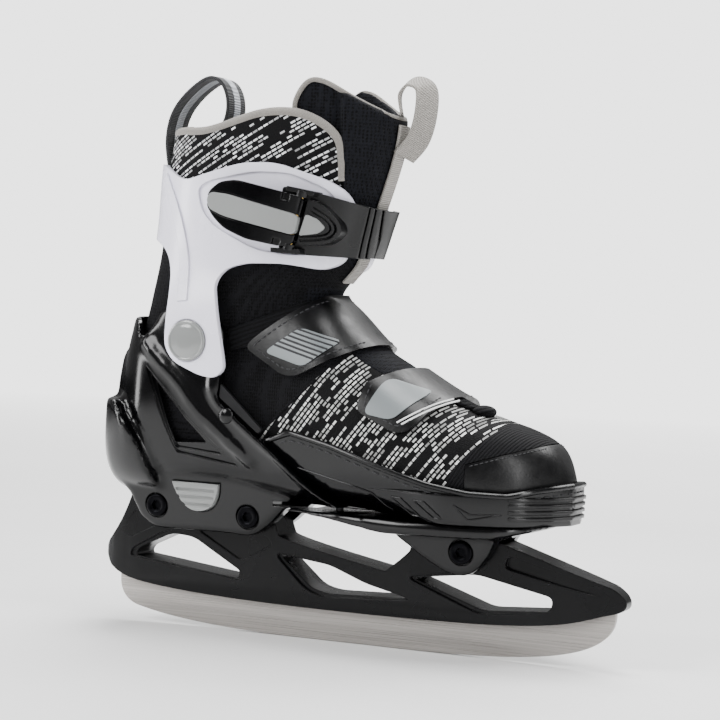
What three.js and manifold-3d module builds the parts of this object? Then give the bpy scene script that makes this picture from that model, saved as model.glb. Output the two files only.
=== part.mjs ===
// Recreational ice skate for the right foot, adjustable over four sizes: a steel blade in a moulded
// holder, a hard chassis with a hinged ankle cuff, and a soft boot whose toe half slides forward.
// Millimetres. +X points to the toe, -Y to the outer side of the foot, +Z up.
// The origin is the middle of the flat part of the blade's running edge.
import * as THREE from "three";
import { mergeVertices } from "three/addons/utils/BufferGeometryUtils.js";
import Module from "manifold-3d";

const wasm = await Module();
wasm.setup();

// ---- Driving dimensions -------------------------------------------------------------------------

const GAP = 0.3; // between pieces that touch on the real skate
const RUN = 0.5; // between pieces that slide past each other
const FAR = 400; // longer than the whole skate, for cutters
const FOOT_RINGS = 15;
const FOOT_SIDES = 18;
const SHIN_RINGS = 8;
const SHIN_SIDES = 22;

// Blade and holder
const BLADE_LENGTH = 276;
const BLADE_THICKNESS = 3.5;
const BLADE_FLAT = 60; // straight middle stretch of the running edge
const BLADE_SEAT = 5; // how far the blade reaches up into its slot
const HOLDER_LENGTH = 290;
const HOLDER_WIDTH = 22;
const HOLDER_TOE_WIDTH = 17;

// Soft boot
const HEEL_X = -128;
const FOOT_LENGTH = 238;
const FOOT_WIDTH = 91;
const PAD = 5; // padded wall
const SHAFT_BOTTOM = 110;
const SHAFT_TOP = 292;
const SHAFT_WIDTH = 0.857 * FOOT_WIDTH;

// Hard shells, as distances outside the soft boot
const TOE_IN = 0.5;
const TOE_OUT = 2.7;
const CUP_IN = TOE_OUT + RUN;
const CUP_WALL = 3;
const CUP_OUT = CUP_IN + CUP_WALL;
const CUFF_LOW = CUP_OUT + 1.4; // inner face of the cuff beside the pivots
const CUFF_HIGH = 1.2; // inner face of the cuff round the shin
const CUFF_WALL = 3;
const HEEL_BULGE = 12;

// Chassis
const SOLE_TOP = 69.2;
const TOWER_BOTTOM = 51;
const TOWER_HALF = 18.5; // half width of a mounting tower at its bottom edge
const TOWER_LEAN = 0.2; // how much wider it gets for each millimetre up
const POCKET_TOP = 70.6;
const SLIDE_TRAVEL = 20; // toe half, from the smallest size to the largest
const TOE_HALF_REAR = -62; // rear edge of the toe half beside the arch

// Screw that guides the toe half along a slot in the sole
const SLIDE_X = -12;
const SLIDE_SHANK = 4;
const SLIDE_HEAD = 9;
const SLIDE_HEAD_TOP = 66.5;

// Ankle pivot
const PIVOT_X = -81.8;
const PIVOT_Z = 151.9;
const PIVOT_SHANK = 8;
const PIVOT_CAP = 21;
const CAP_THICKNESS = 2.2;
const CUFF_BACK = -3; // lean of the cuff, in degrees
const CUFF_FORWARD = 8;

// Mounting bolts through tower, holder and tower
const BOLT_SHANK = 8;
const BOLT_HEAD = 12;
const BOLT_HEAD_HEIGHT = 3;
const BOLT_THREAD = 5.6;
const BOLT_SOCKET = 5;
const BOLTS = [
  { name: "rear", x: -107.7, z: 64.4 },
  { name: "middle", x: -54.8, z: 62.2 },
  { name: "front", x: 62.2, z: 53.8 },
];

// Size button
const BUTTON_X = -83.5;
const BUTTON_WIDTH = 27;
const BUTTON_TOP = 78;
const BUTTON_HEIGHT = 14.5;
const BUTTON_TRAVEL = 3.5;
const BUTTON_PROUD = 3;
const SPRING_D = 6;
const SPRING_WIRE = 0.9;

// Straps and buckle
const STRAP_THICKNESS = 2.6;
const STRAP_LIFT = 0.6; // from the boot to the underside of a strap
const BAND_WIDTH = 22;
const BAND_THICKNESS = 3;
const LEVER_LIFT = 5.7; // from the cuff to the underside of the lever
const LEVER_THICKNESS = 5;
const WEBBING_WIDTH = 16;
const WEBBING_THICKNESS = 1.4;

// ---- Materials ----------------------------------------------------------------------------------

const finish = (color, roughness, metalness = 0) =>
  new THREE.MeshStandardMaterial({ color, roughness, metalness });

const STEEL = finish(0xc9c6c1, 0.35, 1);
const ZINC = finish(0x8d8f93, 0.45, 1);
const BRASS = finish(0xb59a5b, 0.35, 1);
const BLACK_OXIDE = finish(0x17171a, 0.4, 0.6);
const GLOSS_BLACK = finish(0x0e0e11, 0.18);
const SATIN_BLACK = finish(0x141417, 0.35);
const WHITE_PLASTIC = finish(0xeeedf4, 0.3);
const GREY_PLASTIC = finish(0xa9abaa, 0.4);
const MESH_FABRIC = finish(0x17171b, 0.95);
const KNIT_FABRIC = finish(0x3a3b40, 0.95);
const GREY_FABRIC = finish(0x9c9a95, 0.9);
const BLACK_LEATHER = finish(0x18181b, 0.5);
const EVA_FOAM = finish(0x2a2a2e, 0.9);

// ---- Solids -------------------------------------------------------------------------------------

// A three.js geometry as a manifold solid, turned to face out if its making turned it inside out.
function solid(geometry) {
  const loose = geometry.index ? geometry.toNonIndexed() : geometry;
  loose.deleteAttribute("normal");
  loose.deleteAttribute("uv");
  const merged = mergeVertices(loose, 1e-4);
  const vertProperties = merged.getAttribute("position").array;
  const triVerts = new Uint32Array(merged.index.array);
  const made = new wasm.Manifold(new wasm.Mesh({ numProp: 3, vertProperties, triVerts }));
  if (made.volume() > 0) return made;
  triVerts.reverse();
  return new wasm.Manifold(new wasm.Mesh({ numProp: 3, vertProperties, triVerts }));
}

// A THREE.Shape from corner points, each corner rounded off by up to the given radius.
function outline(points, radius = 0) {
  const corners = points.map(([x, y]) => new THREE.Vector2(x, y));
  const path = new THREE.Shape();
  corners.forEach((corner, i) => {
    const before = corners[(i + corners.length - 1) % corners.length];
    const after = corners[(i + 1) % corners.length];
    const reach = Math.min(radius, corner.distanceTo(before) / 2.1, corner.distanceTo(after) / 2.1);
    const from = corner.clone().lerp(before, reach / corner.distanceTo(before));
    const to = corner.clone().lerp(after, reach / corner.distanceTo(after));
    if (i === 0) path.moveTo(from.x, from.y);
    else path.lineTo(from.x, from.y);
    if (reach > 0) path.quadraticCurveTo(corner.x, corner.y, to.x, to.y);
  });
  path.closePath();
  return path;
}

// An outline in the XZ plane, given as a shape, made into a plate from one Y to another.
function plate(shape, yFrom, yTo, curveSegments = 4) {
  const options = { depth: yTo - yFrom, bevelEnabled: false, curveSegments };
  return solid(new THREE.ExtrudeGeometry(shape, options).rotateX(Math.PI / 2).translate(0, yTo, 0));
}

// An outline in the YZ plane made into a bar from one X to another.
function bar(shape, xFrom, xTo, curveSegments = 4) {
  const options = { depth: xTo - xFrom, bevelEnabled: false, curveSegments };
  const turn = new THREE.Matrix4().makeBasis(
    new THREE.Vector3(0, 1, 0),
    new THREE.Vector3(0, 0, 1),
    new THREE.Vector3(1, 0, 0),
  );
  return solid(new THREE.ExtrudeGeometry(shape, options).applyMatrix4(turn).translate(xFrom, 0, 0));
}

// An outline in the XY plane made into a slab from one Z to another.
function slab(shape, zFrom, zTo, curveSegments = 4) {
  const options = { depth: zTo - zFrom, bevelEnabled: false, curveSegments };
  return solid(new THREE.ExtrudeGeometry(shape, options).translate(0, 0, zFrom));
}

function block(xFrom, xTo, yFrom, yTo, zFrom, zTo) {
  const box = new THREE.BoxGeometry(xTo - xFrom, yTo - yFrom, zTo - zFrom);
  return solid(box.translate((xFrom + xTo) / 2, (yFrom + yTo) / 2, (zFrom + zTo) / 2));
}

// A round rod along Y.
function rod(x, z, diameter, yFrom, yTo, sides = 16) {
  const r = diameter / 2;
  const geometry = new THREE.CylinderGeometry(r, r, yTo - yFrom, sides);
  return solid(geometry.translate(x, (yFrom + yTo) / 2, z));
}

// A body lofted through rings: place(u, angle, rho) gives each point, with u from 0 to 1 along the
// body and rho 0 on its middle line, 1 on its surface.
function loft(rings, sides, place) {
  const geometry = new THREE.CylinderGeometry(1, 1, 1, sides, rings);
  const at = geometry.getAttribute("position");
  for (let i = 0; i < at.count; i += 1) {
    const rho = Math.round(Math.hypot(at.getX(i), at.getZ(i)));
    const angle = Math.atan2(at.getZ(i), at.getX(i));
    at.setXYZ(i, ...place(at.getY(i) + 0.5, angle, rho));
  }
  return solid(geometry);
}

// A smooth curve through [position, value] keys, level beyond both ends.
function profile(keys) {
  const slope = (i) => {
    const [a, b] = [keys[Math.max(i - 1, 0)], keys[Math.min(i + 1, keys.length - 1)]];
    return (b[1] - a[1]) / (b[0] - a[0]);
  };
  return (at) => {
    if (at <= keys[0][0]) return keys[0][1];
    const i = keys.findIndex(([position]) => position >= at) - 1;
    if (i < 0) return keys[keys.length - 1][1];
    const [[p0, v0], [p1, v1]] = [keys[i], keys[i + 1]];
    const t = (at - p0) / (p1 - p0);
    const bend0 = slope(i) * (p1 - p0) - (v1 - v0);
    const bend1 = -slope(i + 1) * (p1 - p0) + (v1 - v0);
    return (1 - t) * v0 + t * v1 + t * (1 - t) * (bend0 * (1 - t) + bend1 * t);
  };
}

// Cosine and sine pushed outwards, so that a section is squarer than an ellipse.
function squarish(angle, power) {
  const push = (value) => Math.sign(value) * Math.abs(value) ** (2 / power);
  return [push(Math.cos(angle)), push(Math.sin(angle))];
}

// ---- The shape of the soft boot, which every shell and strap follows -----------------------------

// By share of the way from heel to toe: half width as a share of the widest, and heights.
const footWidth = profile([
  [0, 0.22], [0.03, 0.48], [0.09, 0.68], [0.2, 0.73], [0.33, 0.76], [0.45, 0.84],
  [0.6, 0.95], [0.74, 1], [0.85, 0.94], [0.92, 0.77], [0.97, 0.48], [1, 0.16],
]);
const footUnder = profile([[0, 88], [0.04, 82], [0.28, 81], [0.5, 74], [0.7, 72.5], [0.92, 73.5], [1, 80]]);
const footOver = profile([
  [0, 128], [0.04, 165], [0.12, 185], [0.28, 190], [0.42, 180], [0.48, 172],
  [0.56, 153], [0.61, 146], [0.73, 129], [0.82, 121], [0.915, 114], [0.965, 107], [1, 93],
]);
const footMiddle = profile([[0, 0], [0.45, 0], [0.75, 2], [1, 9]]); // the toes curve to the inner side

// By height: rear and front of the ankle and shin, and half width as a share of the shaft's.
const shaftRear = profile([[110, -126], [150, -127], [170, -123], [200, -117.5], [240, -115], [292, -108]]);
const shaftFront = profile([
  [110, -30], [150, -28], [165, -25], [178, -19.5], [186, -13.5], [194, -7], [220, 2], [250, 11], [268, 13.5], [292, 15],
]);
const shaftHalf = profile([[110, 0.87], [150, 0.87], [180, 0.9], [200, 0.95], [220, 0.98], [262, 1], [292, 1.03]]);

function foot(grow) {
  return loft(FOOT_RINGS, FOOT_SIDES, (u, angle, rho) => {
    const s = 0.5 - 0.5 * Math.cos(Math.PI * u);
    const half = (footWidth(s) * FOOT_WIDTH) / 2 + grow;
    const under = footUnder(s) - grow;
    const over = footOver(s) + grow;
    const widest = under + 0.42 * (over - under);
    const [c, d] = squarish(angle, 2.6);
    const rise = d > 0 ? over - widest : widest - under;
    const x = HEEL_X + FOOT_LENGTH * s + grow * (2 * s - 1);
    return [x, footMiddle(s) + rho * half * c, widest + rho * rise * d];
  });
}

// The ankle and shin; side and end are how far the surface stands outside the soft boot there.
function shin(side, end = side, zFrom = SHAFT_BOTTOM, zTo = SHAFT_TOP) {
  return loft(SHIN_RINGS, SHIN_SIDES, (u, angle, rho) => {
    const z = zFrom + u * (zTo - zFrom);
    const middle = (shaftRear(z) + shaftFront(z)) / 2;
    const long = (shaftFront(z) - shaftRear(z)) / 2 + end(z);
    const half = (shaftHalf(z) * SHAFT_WIDTH) / 2 + side(z);
    const [c, d] = squarish(angle, 2.2);
    return [middle + rho * long * c, rho * half * d, z];
  });
}

const boot = (grow) => foot(grow).add(shin(() => grow));
const shell = (inner, outer) => boot(outer).subtract(boot(inner));

// Half width of the shin form at one place, for whatever is fastened to its side.
function shinSide(x, z, grow) {
  const middle = (shaftRear(z) + shaftFront(z)) / 2;
  const long = (shaftFront(z) - shaftRear(z)) / 2 + grow;
  const half = (shaftHalf(z) * SHAFT_WIDTH) / 2 + grow;
  return half * (1 - Math.abs((x - middle) / long) ** 2.2) ** (1 / 2.2);
}

// A region of the side view, through the whole width.
const through = (points, radius = 0) => plate(outline(points, radius), -FAR, FAR, 2);

// What lies in front of the ankle is drawn for this foot length, and stretches with the real one.
const DRAWN_LENGTH = 238;
const stretchedX = (x) => HEEL_X + ((x - HEEL_X) * FOOT_LENGTH) / DRAWN_LENGTH;
const stretched = (points) => points.map(([x, z]) => [stretchedX(x), z]);
const TOE_X = HEEL_X + FOOT_LENGTH;

// Flat faces turned on the cup and the cuff round each pivot, by distance from the middle plane
const CUP_SEAT = shinSide(PIVOT_X, PIVOT_Z, CUP_OUT) - 0.5;
const CUFF_SEAT = shinSide(PIVOT_X, PIVOT_Z, CUFF_LOW) + 0.3;
const CAP_SEAT = shinSide(PIVOT_X, PIVOT_Z, CUFF_LOW + CUFF_WALL) - 0.3;
const WASHER_D = PIVOT_CAP - 4;
const bothSides = (x, z, diameter, from, to) =>
  rod(x, z, diameter, from, to).add(rod(x, z, diameter, -to, -from));

// ---- Blade and holder ---------------------------------------------------------------------------

// Underside of the holder, where the blade comes out, by share of the half length.
const holderUnder = profile([
  [-1, 32], [-0.93, 25.6], [-0.81, 21.4], [-0.56, 18.3], [-0.2, 16.8],
  [0.28, 17], [0.58, 18.6], [0.79, 22.3], [0.95, 29],
]);
const underAt = (x) => holderUnder(x / (HOLDER_LENGTH / 2));

function bladeSide(grow) {
  const k = (BLADE_LENGTH / 2 + grow) / 138;
  const flat = BLADE_FLAT / 2;
  const path = new THREE.Shape();
  path.moveTo(-flat, -grow);
  path.lineTo(flat, -grow);
  path.quadraticCurveTo(75 * k, -grow, 100 * k, 3.8 - grow);
  path.quadraticCurveTo(118 * k, 6.5 - grow, 127 * k, 11.5 - grow);
  path.quadraticCurveTo(138 * k, 17.6 - grow, 138 * k, 27);
  for (let i = 12; i >= -12; i -= 1) {
    const x = (i / 12) * 138 * k;
    path.lineTo(x, underAt(x) + BLADE_SEAT + grow);
  }
  path.lineTo(-138 * k, 22);
  path.quadraticCurveTo(-138 * k, 11.5 - grow, -128 * k, 8 - grow);
  path.quadraticCurveTo(-116 * k, 5 - grow, -100 * k, 3.2 - grow);
  path.quadraticCurveTo(-72 * k, -grow, -flat, -grow);
  return path;
}

const blade = () => plate(bladeSide(0), -BLADE_THICKNESS / 2, BLADE_THICKNESS / 2, 6);

function holderSide() {
  const end = HOLDER_LENGTH / 2;
  const path = new THREE.Shape();
  path.moveTo(-end + 1, 34);
  path.quadraticCurveTo(-end - 1, 38, -end + 3, 43);
  path.quadraticCurveTo(-133, 54, -128, 69);
  path.lineTo(-100, POCKET_TOP - RUN);
  path.lineTo(-97, 61);
  path.lineTo(-68, 61);
  path.lineTo(-65, 69);
  path.lineTo(-46, 69);
  path.quadraticCurveTo(-43, 57, -41, 53);
  path.quadraticCurveTo(-36, 50, 19, 40);
  path.quadraticCurveTo(28, 47, 32, 51.5);
  path.lineTo(34, 60);
  path.lineTo(78, 59.8);
  path.quadraticCurveTo(100, 53, end - 9, 42);
  path.quadraticCurveTo(end - 1, 38, end - 1, 34);
  path.quadraticCurveTo(end - 1, 31, end - 5, 29.5);
  for (let i = 15; i >= -16; i -= 1) path.lineTo((i / 17) * end, underAt((i / 17) * end));
  path.closePath();
  return path;
}

const holderWindows = () => [
  [[-125, 35.5], [-123.5, 39.5], [-104, 49], [-91, 48], [-63, 32.5], [-64, 28.5]],
  [[-41, 43.5], [-22, 27.5], [-13, 25.5], [32, 27], [8, 32.5], [-12, 40]],
  [[33, 38], [68, 42.5], [108, 34.5], [107, 27.5], [72, 25]],
];

function bladeHolder() {
  const w = HOLDER_WIDTH / 2;
  const t = HOLDER_TOE_WIDTH / 2;
  const end = HOLDER_LENGTH / 2 + 1;
  const section = outline([[-w + 4, 12], [w - 4, 12], [w, 27], [w, 90], [-w, 90], [-w, 27]]);
  const plan = outline([
    [-end, -w + 4], [-end + 18, -w], [60, -w], [end - 20, -t], [end, -t + 4],
    [end, t - 4], [end - 20, t], [60, w], [-end + 18, w], [-end, w - 4],
  ]);
  const slot = plate(bladeSide(GAP), -BLADE_THICKNESS / 2 - GAP, BLADE_THICKNESS / 2 + GAP, 6);
  let made = plate(holderSide(), -w, w).intersect(bar(section, -end, end));
  made = made.intersect(slab(plan, 0, 100)).subtract(slot);
  for (const points of holderWindows()) made = made.subtract(through(points, 4));
  for (const { x, z } of BOLTS) made = made.subtract(rod(x, z, BOLT_SHANK + 2 * GAP, -w - 1, w + 1));
  return made;
}

// ---- Chassis ------------------------------------------------------------------------------------

const towerHalf = (z) => TOWER_HALF + TOWER_LEAN * (z - TOWER_BOTTOM);

function tower(points, xFrom, xTo, zTo) {
  const zFrom = TOWER_BOTTOM - 10;
  const [low, high] = [towerHalf(zFrom), towerHalf(zTo)];
  const section = outline([[-low, zFrom], [low, zFrom], [high, zTo], [-high, zTo]]);
  return bar(section, xFrom, xTo).intersect(through(points, 5));
}

function rearTower() {
  return tower(
    [[-136, 84], [-123, 69], [-119, 58], [-111, 52], [-68, 52.5], [-54, 51.5], [-45, 57], [-33, 69], [-25, 84]],
    -136, -25, 83,
  );
}

function frontTower() {
  return tower(
    [[24, 68], [26, 60], [45, 47], [57, 41.5], [66, 42], [74, 49], [79, 58], [84, 68]],
    24, 84, SOLE_TOP,
  );
}

// Flat plate under the whole boot that the toe half slides on, with a lip round the front.
function solePlate() {
  const steps = 18;
  const xFrom = -45;
  const xTo = TOE_X - 9;
  const edge = (side) => (i) => {
    const x = xFrom + ((xTo - xFrom) * Math.sin((i / steps) * (Math.PI / 2)));
    const s = (x - HEEL_X) / FOOT_LENGTH;
    const inset = i === steps ? 16 : 5;
    return [x, footMiddle(s) + side * Math.max((footWidth(s) * FOOT_WIDTH) / 2 - inset, 6)];
  };
  const along = [...Array(steps + 1).keys()];
  const plan = outline([...along.map(edge(-1)), ...along.reverse().map(edge(1))]);
  const side = outline(
    [[-36, SOLE_TOP], [-5, 66.3], [26, 61.8], [80, 62.4], [TOE_X - 6, 67.4], [TOE_X, SOLE_TOP]],
  );
  return slab(plan, 55, SOLE_TOP).intersect(plate(side, -FAR, FAR));
}

// Side outline of the cup: notched at the top of the heel, high beside the pivots, then down to the
// sole along the front edge.
const CUP_REGION = [
  [-160, 50], [-160, 163], [-126, 163], [-119.5, 160], [-114, 151], [-107, 159], [-102, 167],
  [-72, 168.5], [-63, 158], [-63, 135], [-65, 123], [-50, 111.5], [-30, 96], [-18, 85], [-7, 76.5], [4, 71], [14, 50],
];
const SIDE_WINDOW = [[-104, 131], [-92, 98], [-76, 96.5], [-66, 97]];
const REAR_WINDOW_HALF = 15;
const REAR_WINDOW_LOW = 102;
const REAR_WINDOW_TOP = 146;

function buttonSide(grow) {
  const half = BUTTON_WIDTH / 2 + grow;
  const top = BUTTON_TOP + grow;
  const low = BUTTON_TOP - BUTTON_HEIGHT - grow;
  const path = new THREE.Shape();
  path.moveTo(BUTTON_X - half, top);
  path.lineTo(BUTTON_X + half, top);
  path.quadraticCurveTo(BUTTON_X + half - 1, low, BUTTON_X + 2, low);
  path.quadraticCurveTo(BUTTON_X - half * 0.55, low, BUTTON_X - half, top);
  return path;
}

const buttonFace = () => -towerHalf(BUTTON_TOP - BUTTON_HEIGHT / 2);
const latchSlot = () => [BUTTON_X - 5, BUTTON_X + 5, 12, 19];

function chassisShell() {
  const bulge = foot(HEEL_BULGE).intersect(through([[-160, 60], [-160, 120], [-118, 118], [-96, 95], [-96, 60]]));
  let made = boot(CUP_OUT).add(bulge).intersect(through(CUP_REGION));
  made = made.add(rearTower()).add(solePlate()).add(frontTower());
  // Inside of the cup, open upwards and forwards
  made = made.subtract(boot(CUP_IN).intersect(block(-FAR, 60, -FAR, FAR, 0, FAR)));
  made = made.subtract(block(-60, FAR, -FAR, FAR, SOLE_TOP, 90).intersect(foot(CUP_IN)));
  // Windows
  made = made.subtract(through(SIDE_WINDOW, 4));
  const rear = outline([
    [-REAR_WINDOW_HALF, REAR_WINDOW_TOP - 8], [0, REAR_WINDOW_TOP], [REAR_WINDOW_HALF, REAR_WINDOW_TOP - 8],
    [REAR_WINDOW_HALF - 3, REAR_WINDOW_LOW + 4], [0, REAR_WINDOW_LOW - 2], [-REAR_WINDOW_HALF + 3, REAR_WINDOW_LOW + 4],
  ], 6);
  made = made.subtract(bar(rear, -160, -110));
  // Pocket for the holder's lugs and room for the size latch above it
  const w = HOLDER_WIDTH / 2 + GAP + 0.1;
  made = made.subtract(block(-160, -20, -w, w, 30, POCKET_TOP));
  made = made.subtract(block(20, 90, -w, w, 30, 60.6));
  made = made.subtract(plate(buttonSide(RUN), -60, -w + 1));
  const [x0, x1, y0, y1] = latchSlot();
  made = made.subtract(block(x0 - 1.2, x1 + 1.2, -w + 0.5, 15.5 + BUTTON_TRAVEL, 61, POCKET_TOP + 4.2));
  made = made.subtract(block(x0 - 1.2, x1 + 1.2, y0 - 0.6, y1, POCKET_TOP, 90));
  made = made.subtract(block(BUTTON_X - 4, BUTTON_X + 4, -w, w + 6, 61, POCKET_TOP));
  // Bolt holes with their recesses, and the pivot and rivet holes
  for (const { x, z } of BOLTS) {
    const recess = towerHalf(z) - BOLT_HEAD_HEIGHT + 0.6;
    made = made.subtract(rod(x, z, BOLT_SHANK + 2 * GAP, -60, 60));
    made = made.subtract(rod(x, z, BOLT_HEAD + 1.2, -60, -recess));
    made = made.subtract(rod(x, z, BOLT_HEAD + 1.2, recess, 60));
  }
  made = made.subtract(rod(PIVOT_X, PIVOT_Z, PIVOT_SHANK + 2 * GAP, -FAR, FAR));
  made = made.subtract(bothSides(PIVOT_X, PIVOT_Z, WASHER_D + 1, CUP_SEAT, FAR));
  made = made.subtract(slideSlot());
  return made.subtract(rod(RIVET_X, RIVET_Z, RIVET_SHANK + 2 * GAP, -FAR, FAR));
}

// Rivets that hold the liner to the cup, one each side
const RIVET_X = -59.5;
const RIVET_Z = 114.9;
const RIVET_SHANK = 4;
const RIVET_HEAD = 8.5;

// A turned piece lying along Y: its profile is [radius, distance from the middle plane].
function turned(x, z, side, points) {
  const shape = points.map(([r, y]) => new THREE.Vector2(r, y * side));
  return solid(new THREE.LatheGeometry(shape, 16).translate(x, 0, z));
}

function linerRivet(side) {
  const s = (RIVET_X - HEEL_X) / FOOT_LENGTH;
  const face = (footWidth(s) * FOOT_WIDTH) / 2 + CUP_OUT;
  const r = RIVET_HEAD / 2;
  return turned(RIVET_X, RIVET_Z, side, [
    [0, face - CUP_WALL - 1], [RIVET_SHANK / 2, face - CUP_WALL - 1], [RIVET_SHANK / 2, face + 0.8],
    [r, face + 0.8], [r * 0.8, face + 2], [r * 0.4, face + 2.6], [0, face + 2.8],
  ]);
}

function mountBolt({ x, z }) {
  const out = towerHalf(z) + 0.8;
  const under = out - BOLT_HEAD_HEIGHT;
  const [head, shank, thread] = [BOLT_HEAD / 2, BOLT_SHANK / 2, BOLT_THREAD / 2];
  const made = turned(x, z, -1, [
    [0, -11], [thread, -11], [thread, 0], [shank, 0], [shank, under], [head, under],
    [head, out - 0.6], [head - 0.6, out], [0, out],
  ]);
  return made.subtract(rod(x, z, BOLT_SOCKET, -out - 1, -out + 2, 6));
}

function sleeveNut({ x, z }) {
  const out = towerHalf(z) + 0.8;
  const under = out - BOLT_HEAD_HEIGHT;
  const [head, shank, bore] = [BOLT_HEAD / 2, BOLT_SHANK / 2, BOLT_THREAD / 2 + GAP];
  return turned(x, z, 1, [
    [0, 11 + GAP], [bore, 11 + GAP], [bore, GAP], [shank, GAP], [shank, under], [head, under],
    [head, out - 0.6], [head - 0.6, out], [0, out],
  ]);
}

function sizeButton() {
  const face = buttonFace();
  const cap = plate(buttonSide(0), face - BUTTON_PROUD, face + 3, 6);
  const tip = block(BUTTON_X - 3.5, BUTTON_X + 3.5, face + 2, -11, 66, POCKET_TOP - 1);
  return cap.add(tip);
}

// Bent plate from the button to the far edge of the rack, with a tooth that locks the size.
function sizeLatch() {
  const [x0, x1, y0] = latchSlot();
  const arm = block(x0, x1, -11 + GAP, 15, POCKET_TOP, POCKET_TOP + 2.2);
  const stem = block(BUTTON_X - 3, BUTTON_X + 3, -11 + GAP, -9, 63.5, POCKET_TOP + 1);
  const tooth = block(BUTTON_X - 1.6, BUTTON_X + 1.6, y0 + 0.9, 15, POCKET_TOP + 1, RACK_Z + 1.6);
  return arm.add(stem).add(tooth);
}

function sizeSpring() {
  const r = SPRING_D / 2;
  const length = 14;
  return solid(
    new THREE.LatheGeometry(
      [[r - SPRING_WIRE, 0], [r, 0], [r, length], [r - SPRING_WIRE, length], [r - SPRING_WIRE, 0]].map(
        ([x, y]) => new THREE.Vector2(x, y),
      ),
      14,
    ).translate(BUTTON_X, -9 + GAP, 66.5),
  );
}

const heelInsert = () => {
  const w = REAR_WINDOW_HALF - 3.6;
  const side = outline([[-w, 109.5], [w, 109.5], [w + 1.5, 136], [-w - 1.5, 136]], 5);
  return shell(RUN, CUP_OUT).intersect(bar(side, -160, -110));
};

// ---- Soft boot ----------------------------------------------------------------------------------

// In the side view the boot is parted three ways: what the cuff covers goes with the cuff, in front of
// a slanting line it goes with the toe half, and the rest stays in the chassis.
const shaftSide = () => through([
  [-160, 209], [-122, 203], [-104, 196.5], [-97, 188.5], [-90, 184.5], [-81.8, 183], [-72, 184.5],
  [-64, 188], [-50, 190.5], [-33, 190], [-8, 187], [2, 180], [60, 139], [60, 400], [-160, 400],
]);
const SLIDE_LINE = stretched([[TOE_HALF_REAR, 0], [TOE_HALF_REAR, 97.5], [-24, 111.5], [38, 150], [38, 400]]);

// All that a body sweeps through as the cuff leans from one end of its range to the other.
function leaning(made) {
  const steps = 4;
  let swept = made;
  for (let i = 0; i <= steps; i += 1) {
    const lean = CUFF_BACK + ((CUFF_FORWARD - CUFF_BACK) * i) / steps;
    const turned = made.translate([-PIVOT_X, 0, -PIVOT_Z]).rotate([0, lean, 0]);
    swept = swept.add(turned.translate([PIVOT_X, 0, PIVOT_Z]));
  }
  return swept;
}

const toeSide = () => through([...SLIDE_LINE.map(([x, z]) => [x + GAP, z]), [400, 400], [400, 0]]);
const heelSide = () => through([...SLIDE_LINE.map(([x, z]) => [x - GAP, z]), [-400, 400], [-400, 0]]);
const COLLAR_FRONT = -8.5;
const COLLAR_TOP = [
  [-160, 262], [-92, 259], [-72, 262], [-50, 269], [-30, 269.5], [-17, 264],
  [COLLAR_FRONT, 254], [COLLAR_FRONT, 150], [-160, 150],
];
const THROAT_HALF = 26;
const TONGUE_PAD = 4;

const bootWall = () => boot(0).subtract(boot(-PAD));

function heelUpper() {
  const throat = block(-30, FAR, -THROAT_HALF, THROAT_HALF, 110, FAR);
  return bootWall().subtract(leaning(shaftSide().translate(0, 0, -RUN))).intersect(heelSide()).subtract(throat)
    .subtract(rod(RIVET_X, RIVET_Z, RIVET_SHANK + 6, -FAR, FAR).intersect(shell(-2, 2)));
}

function forefootUpper() {
  return bootWall().intersect(toeSide()).subtract(toeCapRegion(GAP));
}

const toeCapRegion = (grow) => through(stretched([
  [70 - grow, 60], [70 - grow, 99 + grow], [102 - grow, 109.5 + grow], [103 - grow, 140], [200, 140], [200, 60],
]));
const toeCap = () => bootWall().intersect(toeCapRegion(0));

function ankleShaft() {
  return bootWall().intersect(shaftSide()).intersect(through(COLLAR_TOP, 8));
}

// The tongue closes the front of the shaft and reaches back inside the collar on both sides.
function tongueUpper() {
  const thick = TONGUE_PAD + PAD;
  const front = block(COLLAR_FRONT + GAP, FAR, -FAR, FAR, 0, FAR).intersect(boot(0));
  const inside = block(-33, FAR, -FAR, FAR, 214, FAR).intersect(boot(-PAD - RUN));
  const top = through([[-40, 150], [-34, 276], [-26, 287], [-18, 286], [14, 268.5], [60, 245], [60, 150]], 4);
  return front.add(inside).subtract(boot(-thick)).intersect(top).intersect(shaftSide());
}

function tongueLower() {
  const width = THROAT_HALF - GAP;
  return bootWall().intersect(heelSide()).subtract(leaning(shaftSide().translate(0, 0, -RUN))).intersect(block(stretchedX(-21), stretchedX(29), -width, width, 110, FAR));
}

function insole(xFrom, xTo, zTo) {
  const steps = [...Array(13).keys()];
  const edge = (side) => (i) => {
    const x = xFrom + ((xTo - xFrom) * i) / 12;
    const s = (x - HEEL_X) / FOOT_LENGTH;
    return [x, footMiddle(s) + side * ((footWidth(s) * FOOT_WIDTH) / 2 - PAD - 2.5)];
  };
  const plan = slab(outline([...steps.map(edge(-1)), ...steps.reverse().map(edge(1))]), 60, zTo);
  const lift = PAD + 0.6;
  return plan.intersect(foot(-lift)).subtract(foot(-lift).translate(0, 0, 3.5));
}

// ---- Toe shell ----------------------------------------------------------------------------------

const RACK_Z = 78.1;
const RACK_HALF = 11.5;
const TOE_RIM = stretched([
  [TOE_HALF_REAR, 60], [TOE_HALF_REAR, 95], [-24, 109], [0, 104], [28, 95.5], [52, 89], [72, 85.6], [90, 85], [102, 88], [130, 93], [130, 60],
]);

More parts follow.
